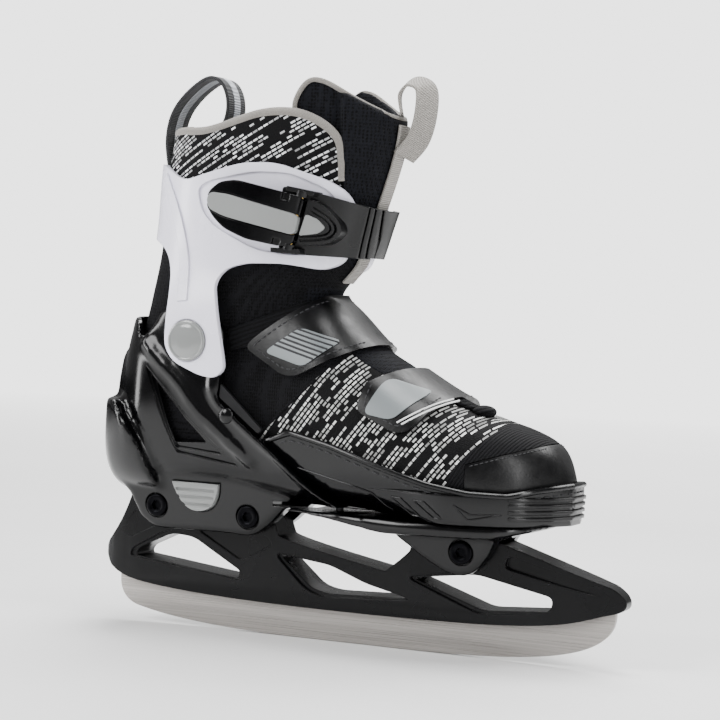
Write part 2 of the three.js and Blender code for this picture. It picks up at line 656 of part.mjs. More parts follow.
function toeShell() {
  const wall = foot(TOE_OUT).subtract(foot(TOE_IN)).intersect(through(TOE_RIM));
  const clearFloor = block(-FAR, FAR, -FAR, FAR, 0, SOLE_TOP + GAP);
  const rack = block(-106, stretchedX(TOE_HALF_REAR) + 4, -RACK_HALF, RACK_HALF, RACK_Z, RACK_Z + 2.1);
  const tail = foot(TOE_OUT).intersect(rack);
  const screwHole = SLIDE_SHANK / 2 + GAP;
  let made = wall.add(tail).subtract(clearFloor);
  made = made.subtract(block(SLIDE_X - screwHole, SLIDE_X + screwHole, -screwHole, screwHole, 60, 80));
  for (let i = 0; i < 4; i += 1) {
    const x = BUTTON_X - (i * SLIDE_TRAVEL) / 3;
    made = made.subtract(block(x - 2.2, x + 2.2, RACK_HALF - 2.5, RACK_HALF + 3, 70, 90));
  }
  return made;
}

// Slot along the sole plate, and the screw that runs in it and holds the toe half down.
function slideSlot() {
  const half = SLIDE_SHANK / 2 + RUN;
  const wide = SLIDE_HEAD / 2 + RUN;
  const [from, to] = [SLIDE_X, SLIDE_X + SLIDE_TRAVEL];
  return block(from - half, to + half, -half, half, 50, 75)
    .add(block(from - wide, to + wide, -wide, wide, 50, SLIDE_HEAD_TOP + GAP));
}

function slideScrew() {
  const [shank, head] = [SLIDE_SHANK / 2, SLIDE_HEAD / 2];
  const under = SLIDE_HEAD_TOP;
  const tip = footUnder((SLIDE_X - HEEL_X) / FOOT_LENGTH) - 2 * GAP;
  const shape = [
    [0, under - 2.4], [head - 1, under - 2.4], [head, under - 1.4], [head, under], [shank, under], [shank, tip], [0, tip],
  ];
  const lathe = new THREE.LatheGeometry(shape.map(([r, z]) => new THREE.Vector2(r, z)), 16);
  return solid(lathe.rotateX(Math.PI / 2).translate(SLIDE_X, 0, 0));
}

// ---- Cuff and pivots ----------------------------------------------------------------------------

const cuffOffset = profile([[130, CUFF_LOW], [166, CUFF_LOW], [196, CUFF_HIGH], [262, CUFF_HIGH]]);
const cuffForm = (grow) => shin((z) => cuffOffset(z) + grow, (z) => cuffOffset(z) + grow, 126, 262);
const CUFF_REGION = [
  [-140, 214], [-140, 242], [-112, 243.5], [-92, 233.5], [-73, 238.5], [-56, 243], [-38, 243.5], [-12, 235.5],
  [-4, 230], [-1.5, 221], [-4, 206], [-9, 194], [-16, 190.5], [-33, 193], [-53, 192.5], [-64, 189],
  [-69, 182], [-66, 168], [-62, 146], [-61, 138], [-66, 133.5], [-74, 134.5], [-90, 141], [-95.5, 149],
  [-95, 174], [-97, 188], [-103, 199], [-122, 206],
];

function cuff() {
  const wall = cuffForm(CUFF_WALL).subtract(cuffForm(0)).intersect(through(CUFF_REGION, 5));
  const bore = PIVOT_SHANK + 2 * GAP;
  return wall.subtract(rod(PIVOT_X, PIVOT_Z, bore, -FAR, FAR))
    .subtract(bothSides(PIVOT_X, PIVOT_Z, WASHER_D + 1, 0.1, CUFF_SEAT))
    .subtract(bothSides(PIVOT_X, PIVOT_Z, PIVOT_CAP + 1, CAP_SEAT, FAR))
    .subtract(rod(BAND_ROOT_X, BAND_ROOT_Z, BAND_RIVET + 2 * GAP, 0, FAR));
}

function pivotCap(side) {
  const face = CAP_SEAT + GAP;
  const [r, shank] = [PIVOT_CAP / 2, PIVOT_SHANK / 2];
  return turned(PIVOT_X, PIVOT_Z, side, [
    [0, CUP_SEAT - CUP_WALL + 0.4], [shank, CUP_SEAT - CUP_WALL + 0.4], [shank, face], [r, face],
    [r, face + CAP_THICKNESS * 0.5], [r - 1.4, face + CAP_THICKNESS], [0, face + CAP_THICKNESS],
  ]);
}

// Thin slip washer between the cup and the cuff.
function slipWasher(side) {
  const [bore, rim] = [PIVOT_SHANK / 2 + GAP, WASHER_D / 2];
  const [low, high] = [CUP_SEAT + GAP, CUFF_SEAT - GAP];
  return turned(PIVOT_X, PIVOT_Z, side, [[bore, low], [rim, low], [rim, high], [bore, high], [bore, low]]);
}

// ---- Buckle -------------------------------------------------------------------------------------

const BAND_ROOT_X = -48;
const BAND_ROOT_Z = 213;
const BAND_RIVET = 6;
const PIN_LIFT = LEVER_LIFT + LEVER_THICKNESS / 2; // from the cuff to the middle of the hinge pin
const pinEnd = (x, z) =>
  new THREE.Vector3(x, -shinSide(x, z, CUFF_HIGH + CUFF_WALL + PIN_LIFT), z);
const PIN_TOP = pinEnd(-20, 229.5);
const PIN_LOW = pinEnd(-27.5, 199.5);

// A round rod between two points, shortened at each end.
function rodBetween(from, to, diameter, shorter = 0) {
  const along = to.clone().sub(from);
  const length = along.length() - 2 * shorter;
  const turn = new THREE.Quaternion().setFromUnitVectors(new THREE.Vector3(0, 1, 0), along.normalize());
  const middle = from.clone().add(to).multiplyScalar(0.5);
  const geometry = new THREE.CylinderGeometry(diameter / 2, diameter / 2, length, 12);
  return solid(geometry.applyQuaternion(turn).translate(middle.x, middle.y, middle.z));
}

const overCuff = (from, to) => cuffForm(CUFF_WALL + to).subtract(cuffForm(CUFF_WALL + from));
const nearSide = () => block(-FAR, FAR, -FAR, -8, 0, FAR);
const middlePart = () => block(-20, FAR, -20, 20, 0, FAR);

// Where the inner side's end of the band, held by its rivet, turns into the part that swings open
const FLEX_X = -38;
const bandFar = () => through([[-60, 224], [-24, 224.5], [20, 219], [20, 197], [-24, 201.5], [-60, 202]], 4);

function bandAnchor() {
  return overCuff(1, 1 + BAND_THICKNESS).intersect(bandFar())
    .intersect(block(-FAR, FLEX_X - GAP, 8, FAR, 0, FAR))
    .subtract(rod(BAND_ROOT_X, BAND_ROOT_Z, BAND_RIVET + 2 * GAP, 0, FAR))
    .subtract(rod(BAND_ROOT_X, BAND_ROOT_Z, 13, bandFace(), FAR));
}

// Band round the front of the shin, with an ear at each end of the lever's hinge pin.
function buckleBand() {
  const near = through([[-32, 231.5], [-12, 228], [20, 219], [20, 197], [-18, 197.5], [-34, 198]], 2);
  const front = through([[-24, 229], [30, 218], [30, 196], [-24, 199.5]]);
  const far = bandFar().intersect(block(FLEX_X + GAP, FAR, 8, FAR, 0, FAR));
  const area = near.intersect(nearSide()).add(front.intersect(middlePart())).add(far);
  const ears = through([[-27, 231.3], [-14, 229], [-14.6, 226.8], [-27.6, 229.1]])
    .add(through([[-35, 200.6], [-21.5, 200.2], [-21.5, 197.8], [-35, 198.2]]));
  return overCuff(1, 1 + BAND_THICKNESS).intersect(area)
    .add(overCuff(1, PIN_LIFT + 2.4).intersect(ears).intersect(nearSide()))
    .subtract(rodBetween(PIN_TOP, PIN_LOW, PIN_D + 2 * GAP));
}

const bandFace = () => shinSide(BAND_ROOT_X, BAND_ROOT_Z, CUFF_HIGH + CUFF_WALL + 1 + BAND_THICKNESS) - 0.4;
const PIN_D = 3;

const bucklePin = () => rodBetween(PIN_TOP, PIN_LOW, PIN_D);

// Lever that lies along the outer side of the cuff behind its hinge pin.
function buckleLever() {
  const area = through([[-66, 232.5], [-24, 226.3], [-18.7, 225.6], [-24.7, 202.2], [-30, 202.4], [-67, 217.5], [-71, 226]], 3);
  const body = overCuff(LEVER_LIFT, LEVER_LIFT + LEVER_THICKNESS).intersect(area).intersect(nearSide());
  const groove = through([[-67, 229], [-22, 219.6], [-24, 208.4], [-68, 219.5]], 4);
  return body.subtract(groove.intersect(overCuff(LEVER_LIFT + 2.4, 40)))
    .subtract(rodBetween(PIN_TOP, PIN_LOW, PIN_D + 2 * GAP));
}

// Release button let into the lever.
function buckleRelease() {
  const area = through([[-66, 227.6], [-28, 217.8], [-29.5, 210], [-66.5, 221]], 4);
  return overCuff(LEVER_LIFT + 3.8, LEVER_LIFT + LEVER_THICKNESS + 0.6).intersect(area).intersect(nearSide());
}

function bandRivet() {
  const y = shinSide(BAND_ROOT_X, BAND_ROOT_Z, CUFF_HIGH) + RUN;
  const out = bandFace() + GAP;
  return turned(BAND_ROOT_X, BAND_ROOT_Z, 1, [
    [0, y], [BAND_RIVET / 2, y], [BAND_RIVET / 2, out], [5.5, out], [4.5, out + 1.4], [0, out + 1.8],
  ]);
}

// Toothed plate on the cuff that the lever's claw holds on to.
function buckleRack() {
  const side = nearSide();
  let made = overCuff(GAP, 1.8).intersect(side)
    .intersect(through([[-66, 226.5], [-40, 220.5], [-42, 210.5], [-67, 217.5]], 2));
  const teeth = overCuff(GAP, 3.2).intersect(side);
  for (let i = 0; i < 5; i += 1) {
    const x = -61 + i * 4;
    const z = 223.5 - i;
    made = made.add(teeth.intersect(through([[x, z], [x + 2, z], [x + 1.4, z - 7.6], [x - 0.6, z - 7.6]])));
  }
  return made;
}

// ---- Straps, loops ------------------------------------------------------------------------------

// Each strap is sewn down on the inner side and over the top; its flap peels off the outer side.
const STRAP_BEND_Y = -9;
const strapRoot = () => block(-FAR, FAR, STRAP_BEND_Y + GAP, FAR, 0, FAR);
const strapFlap = () => block(-FAR, FAR, -FAR, STRAP_BEND_Y - GAP, 0, FAR);
const strapWall = () => shell(STRAP_LIFT, STRAP_LIFT + STRAP_THICKNESS);

function instepStrap(part) {
  const area = through(
    stretched([[-53, 150], [-47, 156], [-16, 179.5], [-8, 176], [14, 158], [6, 152], [-22, 137], [-30, 137]]), 4,
  );
  return strapWall().intersect(area).intersect(heelSide()).intersect(part);
}

function toeStrap(part) {
  const area = through(stretched([[13, 122], [16, 140], [22, 150], [54, 134], [46, 119], [40, 113], [34, 112.5]]), 4);
  return strapWall().intersect(area).intersect(toeSide()).intersect(part);
}

// A flat loop: the middle line of the webbing in the side view, widened along Y.
function loop(points, y, width, thickness) {
  const line = new THREE.CatmullRomCurve3(points.map(([x, z]) => new THREE.Vector3(x, 0, z)));
  const [t, w] = [thickness / 2, width / 2];
  const section = outline([[-w, -t], [w, -t], [w, t], [-w, t]]);
  const bent = new THREE.ExtrudeGeometry(section, { steps: 20, extrudePath: line });
  return solid(bent.translate(0, y, 0));
}

const tongueLoop = () =>
  loop([[14.5, 250], [22, 259], [25.5, 272], [25, 285], [17, 288.5], [11, 282], [12.5, 271.5]], 0, WEBBING_WIDTH, WEBBING_THICKNESS);
const heelLoop = () =>
  loop([[-115.5, 246], [-117, 264], [-113, 279], [-105, 287], [-97, 283], [-95.5, 268], [-99, 255]], 0, WEBBING_WIDTH + 4, 2);

// ---- The assembly -------------------------------------------------------------------------------

const skate = new THREE.Group();

function add(name, made, material) {
  const { vertProperties, triVerts } = made.getMesh();
  const geometry = new THREE.BufferGeometry();
  geometry.setAttribute("position", new THREE.BufferAttribute(vertProperties, 3));
  geometry.setIndex(new THREE.BufferAttribute(triVerts, 1));
  const mesh = new THREE.Mesh(geometry, material);
  mesh.name = name;
  skate.add(mesh);
}

add("blade", blade(), STEEL);
add("blade_holder", bladeHolder(), SATIN_BLACK);
add("chassis_shell", chassisShell(), GLOSS_BLACK);
for (const bolt of BOLTS) {
  add(`mount_bolt_${bolt.name}`, mountBolt(bolt), BLACK_OXIDE);
  add(`sleeve_nut_${bolt.name}`, sleeveNut(bolt), BLACK_OXIDE);
}
add("size_button", sizeButton(), GREY_PLASTIC);
add("size_latch", sizeLatch(), ZINC);
add("size_spring", sizeSpring(), ZINC);
add("heel_insert", heelInsert(), GREY_PLASTIC);
add("liner_rivet_outer", linerRivet(-1), GLOSS_BLACK);
add("liner_rivet_inner", linerRivet(1), GLOSS_BLACK);
add("heel_upper", heelUpper(), MESH_FABRIC);
add("tongue_lower", tongueLower(), MESH_FABRIC);
add("insole_heel", insole(-120, -64, 91), EVA_FOAM);
add("insole_toe", insole(-61, TOE_X - 12, 90), EVA_FOAM);
add("forefoot_upper", forefootUpper(), KNIT_FABRIC);
add("toe_cap", toeCap(), BLACK_LEATHER);
add("toe_shell", toeShell(), GLOSS_BLACK);
add("slide_screw", slideScrew(), ZINC);
add("ankle_shaft", ankleShaft(), MESH_FABRIC);
add("tongue_upper", tongueUpper(), MESH_FABRIC);
add("cuff", cuff(), WHITE_PLASTIC);
for (const [place, side] of [["outer", -1], ["inner", 1]]) {
  add(`pivot_cap_${place}`, pivotCap(side), GREY_PLASTIC);
  add(`slip_washer_${place}`, slipWasher(side), ZINC);
}
add("buckle_rack", buckleRack(), SATIN_BLACK);
add("band_anchor", bandAnchor(), SATIN_BLACK);
add("buckle_band", buckleBand(), SATIN_BLACK);
add("buckle_lever", buckleLever(), GLOSS_BLACK);
add("buckle_release", buckleRelease(), GREY_PLASTIC);
add("buckle_pin", bucklePin(), BRASS);
add("band_rivet", bandRivet(), BRASS);
add("instep_strap_root", instepStrap(strapRoot()), BLACK_LEATHER);
add("instep_strap", instepStrap(strapFlap()), BLACK_LEATHER);
add("toe_strap_root", toeStrap(strapRoot()), BLACK_LEATHER);
add("toe_strap", toeStrap(strapFlap()), BLACK_LEATHER);
add("tongue_loop", tongueLoop(), GREY_FABRIC);
add("heel_loop", heelLoop(), GREY_FABRIC);

export default skate;
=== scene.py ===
"""Builds the visible surfaces of an adjustable ice skate for the right foot.

+X points to the toe, -Y to the outer side of the foot, +Z up. Sizes are in millimetres.
"""

import math

import bmesh
import bpy
from bpy.props import FloatProperty, FloatVectorProperty, IntProperty
from mathutils import Matrix, Vector
from mathutils.bvhtree import BVHTree


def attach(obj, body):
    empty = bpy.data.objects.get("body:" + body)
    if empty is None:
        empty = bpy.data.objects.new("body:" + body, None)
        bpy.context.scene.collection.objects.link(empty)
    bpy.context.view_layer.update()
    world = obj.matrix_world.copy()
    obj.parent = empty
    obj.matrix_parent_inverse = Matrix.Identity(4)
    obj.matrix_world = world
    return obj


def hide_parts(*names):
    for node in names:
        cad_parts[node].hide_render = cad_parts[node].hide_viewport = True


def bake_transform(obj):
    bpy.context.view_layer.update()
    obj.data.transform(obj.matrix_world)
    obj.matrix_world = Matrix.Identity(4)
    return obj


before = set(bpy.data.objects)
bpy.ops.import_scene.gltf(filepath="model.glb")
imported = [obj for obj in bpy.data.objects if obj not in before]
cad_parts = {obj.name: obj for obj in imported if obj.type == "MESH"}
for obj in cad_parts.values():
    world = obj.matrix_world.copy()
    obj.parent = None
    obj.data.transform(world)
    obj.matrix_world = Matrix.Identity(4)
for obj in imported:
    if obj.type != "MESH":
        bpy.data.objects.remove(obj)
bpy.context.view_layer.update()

bl_info = {
    "name": "Adjustable ice skate",
    "version": (1, 0, 0),
    "blender": (4, 5, 0),
    "location": "View3D > Sidebar > Skate",
    "description": "Builds an adjustable ice skate with its studio",
    "category": "Add Mesh",
}

MM = 0.001
FAR = 400.0
TURN = 2 * math.pi

# ---- The boot's form: the same keys and distances as the hard parts are made to -------------------

HEEL_X, FOOT_LENGTH, FOOT_WIDTH = -128.0, 238.0, 91.0
TOE_X = HEEL_X + FOOT_LENGTH
SHAFT_WIDTH = 0.857 * FOOT_WIDTH
PAD = 5.0
TOE_IN, TOE_OUT = 0.5, 2.7
CUP_IN, CUP_OUT = 3.2, 6.2
CUFF_LOW, CUFF_HIGH, CUFF_WALL = 7.6, 1.2, 3.0
PIVOT_X, PIVOT_Z = -81.8, 151.9
BOLTS = {"rear": (-107.7, 64.4), "middle": (-54.8, 62.2), "front": (62.2, 53.8)}
TOWER_HALF, TOWER_LEAN, TOWER_BOTTOM = 18.5, 0.2, 51.0
SOLE_TOP = 69.2
BOLT_BORE, BOLT_POCKET, PIVOT_BORE = 8.6, 13.2, 8.6
HOLDER_SLOT = 11.4
BUTTON_X = -83.5
STRAP_LIFT, STRAP_THICKNESS = 0.6, 2.6


def profile(keys):
    """A smooth curve through (position, value) keys, level beyond both ends."""

    def slope(i):
        a, b = keys[max(i - 1, 0)], keys[min(i + 1, len(keys) - 1)]
        return (b[1] - a[1]) / (b[0] - a[0])

    def at(p):
        if p <= keys[0][0]:
            return keys[0][1]
        if p >= keys[-1][0]:
            return keys[-1][1]
        i = next(k for k in range(len(keys)) if keys[k][0] >= p) - 1
        (p0, v0), (p1, v1) = keys[i], keys[i + 1]
        t = (p - p0) / (p1 - p0)
        bend0 = slope(i) * (p1 - p0) - (v1 - v0)
        bend1 = -slope(i + 1) * (p1 - p0) + (v1 - v0)
        return (1 - t) * v0 + t * v1 + t * (1 - t) * (bend0 * (1 - t) + bend1 * t)

    return at


foot_width = profile([
    (0, 0.22), (0.03, 0.48), (0.09, 0.68), (0.2, 0.73), (0.33, 0.76), (0.45, 0.84),
    (0.6, 0.95), (0.74, 1), (0.85, 0.94), (0.92, 0.77), (0.97, 0.48), (1, 0.16),
])
foot_under = profile([(0, 88), (0.04, 82), (0.28, 81), (0.5, 74), (0.7, 72.5), (0.92, 73.5), (1, 80)])
foot_over = profile([
    (0, 128), (0.04, 165), (0.12, 185), (0.28, 190), (0.42, 180), (0.48, 172),
    (0.56, 153), (0.61, 146), (0.73, 129), (0.82, 121), (0.915, 114), (0.965, 107), (1, 93),
])
foot_middle = profile([(0, 0), (0.45, 0), (0.75, 2), (1, 9)])
shaft_rear = profile([(110, -126), (150, -127), (170, -123), (200, -117.5), (240, -115), (292, -108)])
shaft_front = profile([
    (110, -30), (150, -28), (165, -25), (178, -19.5), (186, -13.5),
    (194, -7), (220, 2), (250, 11), (268, 13.5), (292, 15),
])
shaft_half = profile([(110, 0.87), (150, 0.87), (180, 0.9), (200, 0.95), (220, 0.98), (262, 1), (292, 1.03)])
cuff_offset = profile([(130, CUFF_LOW), (166, CUFF_LOW), (196, CUFF_HIGH), (262, CUFF_HIGH)])


def squarish(angle, power):
    def push(v):
        return math.copysign(abs(v) ** (2 / power), v)

    return push(math.cos(angle)), push(math.sin(angle))


def foot_point(grow, s, angle, rho=1.0):
    half = foot_width(s) * FOOT_WIDTH / 2 + grow
    under, over = foot_under(s) - grow, foot_over(s) + grow
    widest = under + 0.42 * (over - under)
    c, d = squarish(angle, 2.6)
    rise = over - widest if d > 0 else widest - under
    x = HEEL_X + FOOT_LENGTH * s + grow * (2 * s - 1)
    return x, foot_middle(s) + rho * half * c, widest + rho * rise * d


def shin_point(side, end, z, angle, rho=1.0):
    middle = (shaft_rear(z) + shaft_front(z)) / 2
    long = (shaft_front(z) - shaft_rear(z)) / 2 + end(z)
    half = shaft_half(z) * SHAFT_WIDTH / 2 + side(z)
    c, d = squarish(angle, 2.2)
    return middle + rho * long * c, rho * half * d, z


def shin_side(x, z, grow):
    middle = (shaft_rear(z) + shaft_front(z)) / 2
    long = (shaft_front(z) - shaft_rear(z)) / 2 + grow
    half = shaft_half(z) * SHAFT_WIDTH / 2 + grow
    return half * (1 - min(abs((x - middle) / long), 1) ** 2.2) ** (1 / 2.2)


CUP_SEAT = shin_side(PIVOT_X, PIVOT_Z, CUP_OUT) - 0.5
CUFF_SEAT = shin_side(PIVOT_X, PIVOT_Z, CUFF_LOW) + 0.3
CAP_SEAT = shin_side(PIVOT_X, PIVOT_Z, CUFF_LOW + CUFF_WALL) - 0.3

# ---- Closed surfaces, and cutting and joining them ------------------------------------------------


class Solid:
    """A closed surface in millimetres: a - b cuts, a + b joins, a & b keeps what both hold."""

    def __init__(self, bm=None, mesh=None):
        if bm is not None:
            bmesh.ops.recalc_face_normals(bm, faces=bm.faces)
            mesh = bpy.data.meshes.new("solid")
            bm.to_mesh(mesh)
            bm.free()
        self.mesh = mesh

    def changed(self, *modifiers):
        """The surface after modifiers, each given as (type, {setting: value})."""
        holder = bpy.data.objects.new("work", self.mesh)
        bpy.context.scene.collection.objects.link(holder)
        for kind, settings in modifiers:
            m = holder.modifiers.new(kind, kind)
            for key, value in settings.items():
                setattr(m, key, value)
        graph = bpy.context.evaluated_depsgraph_get()
        made = bpy.data.meshes.new_from_object(holder.evaluated_get(graph))
        bpy.data.objects.remove(holder)
        return Solid(mesh=made)

    def combined(self, other, operation):
        tool = bpy.data.objects.new("tool", other.mesh)
        bpy.context.scene.collection.objects.link(tool)
        made = self.changed(("BOOLEAN", {"operation": operation, "solver": "MANIFOLD", "object": tool}))
        bpy.data.objects.remove(tool)
        return made

    def __sub__(self, other):
        return self.combined(other, "DIFFERENCE")

    def __add__(self, other):
        return self.combined(other, "UNION")

    def __and__(self, other):
        return self.combined(other, "INTERSECT")

    def moved(self, x=0.0, y=0.0, z=0.0):
        mesh = self.mesh.copy()
        mesh.transform(Matrix.Translation((x, y, z)))
        return Solid(mesh=mesh)

    def tree(self):
        verts = [v.co.copy() for v in self.mesh.vertices]
        return BVHTree.FromPolygons(verts, [tuple(p.vertices) for p in self.mesh.polygons])


def closed_rings(rings, centres=None):
    """A closed surface through rings of points, with a fan at each end."""
    bm = bmesh.new()
    loops = [[bm.verts.new(p) for p in ring] for ring in rings]
    for a, b in zip(loops, loops[1:]):
        for k in range(len(a)):
            n = (k + 1) % len(a)
            bm.faces.new((a[k], a[n], b[n], b[k]))
    for i, loop in ((0, loops[0]), (-1, loops[-1])):
        middle = centres[i] if centres else sum((v.co for v in loop), Vector()) / len(loop)
        tip = bm.verts.new(middle)
        for k in range(len(loop)):
            bm.faces.new((loop[k], loop[(k + 1) % len(loop)], tip))
    return Solid(bm)


def foot(grow, rings=90, sides=88):
    shares = [0.5 - 0.5 * math.cos(math.pi * i / rings) for i in range(rings + 1)]
    return closed_rings(
        [[foot_point(grow, s, TURN * k / sides) for k in range(sides)] for s in shares],
        [foot_point(grow, 0, 0, 0), foot_point(grow, 1, 0, 0)],
    )


def shin(side, end=None, z_from=110.0, z_to=292.0, rings=64, sides=120):
    end = end or side
    heights = [z_from + (z_to - z_from) * i / rings for i in range(rings + 1)]
    return closed_rings([[shin_point(side, end, z, TURN * k / sides) for k in range(sides)] for z in heights])


_boots = {}


def boot(grow):
    """Foot and shin melted into one form, so that the bend of the ankle is smooth."""
    if grow not in _boots:
        both = foot(grow) + shin(lambda z: grow)
        _boots[grow] = both.changed(
            ("REMESH", {"mode": "VOXEL", "voxel_size": 1.9, "use_smooth_shade": True}),
            ("SMOOTH", {"factor": 0.5, "iterations": 7}),
        )
    return _boots[grow]


def shell(inner, outer):
    return boot(outer) - boot(inner)


def rounded(points, radius, steps=4):
    """Corner points with each corner rounded off by up to radius."""
    if radius <= 0:
        return [tuple(p) for p in points]
    made = []
    corners = [Vector(p) for p in points]
    for i, corner in enumerate(corners):
        before, after = corners[i - 1], corners[(i + 1) % len(corners)]
        lb, la = (before - corner).length, (after - corner).length
        reach = min(radius, lb / 2.1, la / 2.1)
        a, b = corner.lerp(before, reach / lb), corner.lerp(after, reach / la)
        for k in range(steps + 1):
            t = k / steps
            made.append(tuple((1 - t) ** 2 * a + 2 * t * (1 - t) * corner + t * t * b))
    return made


def prism(points, low, high, place):
    bm = bmesh.new()
    base = bm.faces.new([bm.verts.new(place(u, v, low)) for u, v in points])
    made = bmesh.ops.extrude_face_region(bm, geom=[base])
    top = [g for g in made["geom"] if isinstance(g, bmesh.types.BMVert)]
    shift = Vector(place(0, 0, high)) - Vector(place(0, 0, low))
    bmesh.ops.translate(bm, verts=top, vec=shift)
    bmesh.ops.triangulate(bm, faces=[f for f in bm.faces if len(f.verts) > 4])
    return Solid(bm)


def plate(points, y_from=-FAR, y_to=FAR, radius=0.0):
    """An outline in the side view, given thickness across the skate."""
    return prism(rounded(points, radius), y_from, y_to, lambda u, v, w: (u, w, v))


def bar(points, x_from, x_to, radius=0.0):
    return prism(rounded(points, radius), x_from, x_to, lambda u, v, w: (w, u, v))


def slab(points, z_from, z_to, radius=0.0):
    return prism(rounded(points, radius), z_from, z_to, lambda u, v, w: (u, v, w))


def block(x0, x1, y0, y1, z0, z1):
    return slab([(x0, y0), (x1, y0), (x1, y1), (x0, y1)], z0, z1)


def rod(x, z, diameter, y_from, y_to, sides=40):
    r = diameter / 2
    ring = [(x + r * math.cos(TURN * k / sides), z + r * math.sin(TURN * k / sides)) for k in range(sides)]
    return plate(ring, y_from, y_to)


def spun(place, axis, points, sides):
    """A lathe-turned piece; points are (radius, distance along the axis), from one end to the other."""
    bm = bmesh.new()
    line = [bm.verts.new(Vector(place) + Vector((r, 0, 0)) + Vector(axis) * d) for r, d in points]
    edges = [bm.edges.new(pair) for pair in zip(line, line[1:])]
    bmesh.ops.spin(bm, geom=line + edges, cent=place, axis=axis, angle=TURN, steps=sides, use_merge=True)
    bmesh.ops.remove_doubles(bm, verts=bm.verts, dist=1e-4)
    return Solid(bm)


def turned(x, z, side, points, sides=48):
    """A turned piece lying across the skate; points are (radius, distance from the middle plane)."""
    return spun((x, 0, z), (0, side, 0), points, sides)


def swept(points, section, closed=False, up=(0, 0, 1)):
    """A closed surface: a section of (across, up) points carried along a line of points."""
    line = [Vector(p) for p in points]
    count = len(line)
    rings = []
    previous = None
    for i, p in enumerate(line):
        a = line[i - 1] if closed or i else p
        b = line[(i + 1) % count] if closed or i < count - 1 else p
        along = (b - a).normalized()
        guide = previous if previous is not None else Vector(up)
        rise = (guide - along * guide.dot(along)).normalized()
        previous = rise
        across = along.cross(rise)
        rings.append([p + across * u + rise * v for u, v in section])
    if not closed:
        return closed_rings(rings)
    bm = bmesh.new()
    loops = [[bm.verts.new(p) for p in ring] for ring in rings]
    for i, a in enumerate(loops):
        b = loops[(i + 1) % count]
        for k in range(len(section)):
            n = (k + 1) % len(section)
            bm.faces.new((a[k], a[n], b[n], b[k]))
    return Solid(bm)


def circle(radius, sides=10, flat=1.0):
    angles = [TURN * k / sides for k in range(sides)]
    return [(radius * math.cos(a), radius * flat * math.sin(a)) for a in angles]


def smooth_line(points, steps=8, closed=False):
    """Points along a smooth curve through the given ones."""
    pts = [Vector(p) for p in points]
    n = len(pts)
    made = []
    for i in range(n if closed else n - 1):
        p0 = pts[i - 1] if closed or i else pts[0]
        p1, p2 = pts[i], pts[(i + 1) % n]
        p3 = pts[(i + 2) % n] if closed or i + 2 < n else pts[-1]
        for k in range(steps):
            t = k / steps
            made.append(
                0.5 * (2 * p1 + (p2 - p0) * t + (2 * p0 - 5 * p1 + 4 * p2 - p3) * t * t
                       + (3 * p1 - 3 * p2 + p3 - p0) * t ** 3)
            )
    if not closed:
        made.append(pts[-1])
    return made


def inset(points, by):
    """A closed outline moved inwards by that much."""
    turn = sum(a[0] * b[1] - b[0] * a[1] for a, b in zip(points, points[1:] + points[:1]))
    sign = 1 if turn > 0 else -1
    made = []
    for i, p in enumerate(points):
        a, b = Vector(points[i - 1]), Vector(points[(i + 1) % len(points)])
        along = (b - a).normalized()
        made.append((p[0] - along.y * by * sign, p[1] + along.x * by * sign))
    return made


def draped(tree, points, side=-1, lift=0.0):
    """Side view points laid on a surface from the outer side (-1) or the inner side (1)."""
    made = []
    for x, z in points:
        hit, normal, _, _ = tree.ray_cast(Vector((x, side * 120.0, z)), Vector((0, -side, 0)))
        if hit is not None:
            made.append(hit + normal * lift)
    return made


def evenly(points, step):
    """Points a fixed step apart along a line."""
    made, left = [Vector(points[0])], step
    for a, b in zip(points, points[1:]):
        a, b = Vector(a), Vector(b)
        length = (b - a).length
        at = 0.0
        while length - at >= left > 0:
            at += left
            made.append(a.lerp(b, at / length))
            left = step
        left -= length - at
    return made


def stitches(line, pitch=3.4, length=2.3, radius=0.32):
    """Separate thread stitches along a line, as one mesh."""
    bm = bmesh.new()
    dots = evenly(line, pitch)
    for a, b in zip(dots, dots[1:]):
        along = (b - a).normalized()
        middle = (a + b) / 2
        side = along.orthogonal().normalized()
        other = along.cross(side)
        loops = []
        for t, r in ((-0.5, 0.35), (-0.36, 1.0), (0.36, 1.0), (0.5, 0.35)):
            centre = middle + along * (t * length)
            loops.append([
                bm.verts.new(centre + (side * math.cos(a) + other * math.sin(a)) * r * radius)
                for a in (TURN * k / 6 for k in range(6))
            ])
        for u, v in zip(loops, loops[1:]):
            for k in range(6):
                bm.faces.new((u[k], u[(k + 1) % 6], v[(k + 1) % 6], v[k]))
        bm.faces.new(loops[0])
        bm.faces.new(loops[-1])
    return Solid(bm)


def gathered(*solids):
    """Several surfaces as one mesh, without joining them."""
    bm = bmesh.new()
    for s in solids:
        bm.from_mesh(s.mesh)
    return Solid(bm)


# ---- Materials ------------------------------------------------------------------------------------


def hexed(text):
    """A linear colour from an sRGB hex code."""
    parts = [int(text[i:i + 2], 16) / 255 for i in (1, 3, 5)]
    return tuple(c / 12.92 if c <= 0.04045 else ((c + 0.055) / 1.055) ** 2.4 for c in parts) + (1.0,)


def wire(tree, kind, links=(), **settings):
    """Adds a shader node; links holds sockets or values, by input name or in the inputs' order."""
    n = tree.nodes.new(kind)
    for key, value in settings.items():
        setattr(n, key, value)
    for key, value in links.items() if isinstance(links, dict) else enumerate(links):
        socket = n.inputs[key]
        if isinstance(value, bpy.types.NodeSocket):
            tree.links.new(value, socket)
        else:
            socket.default_value = value
    return n


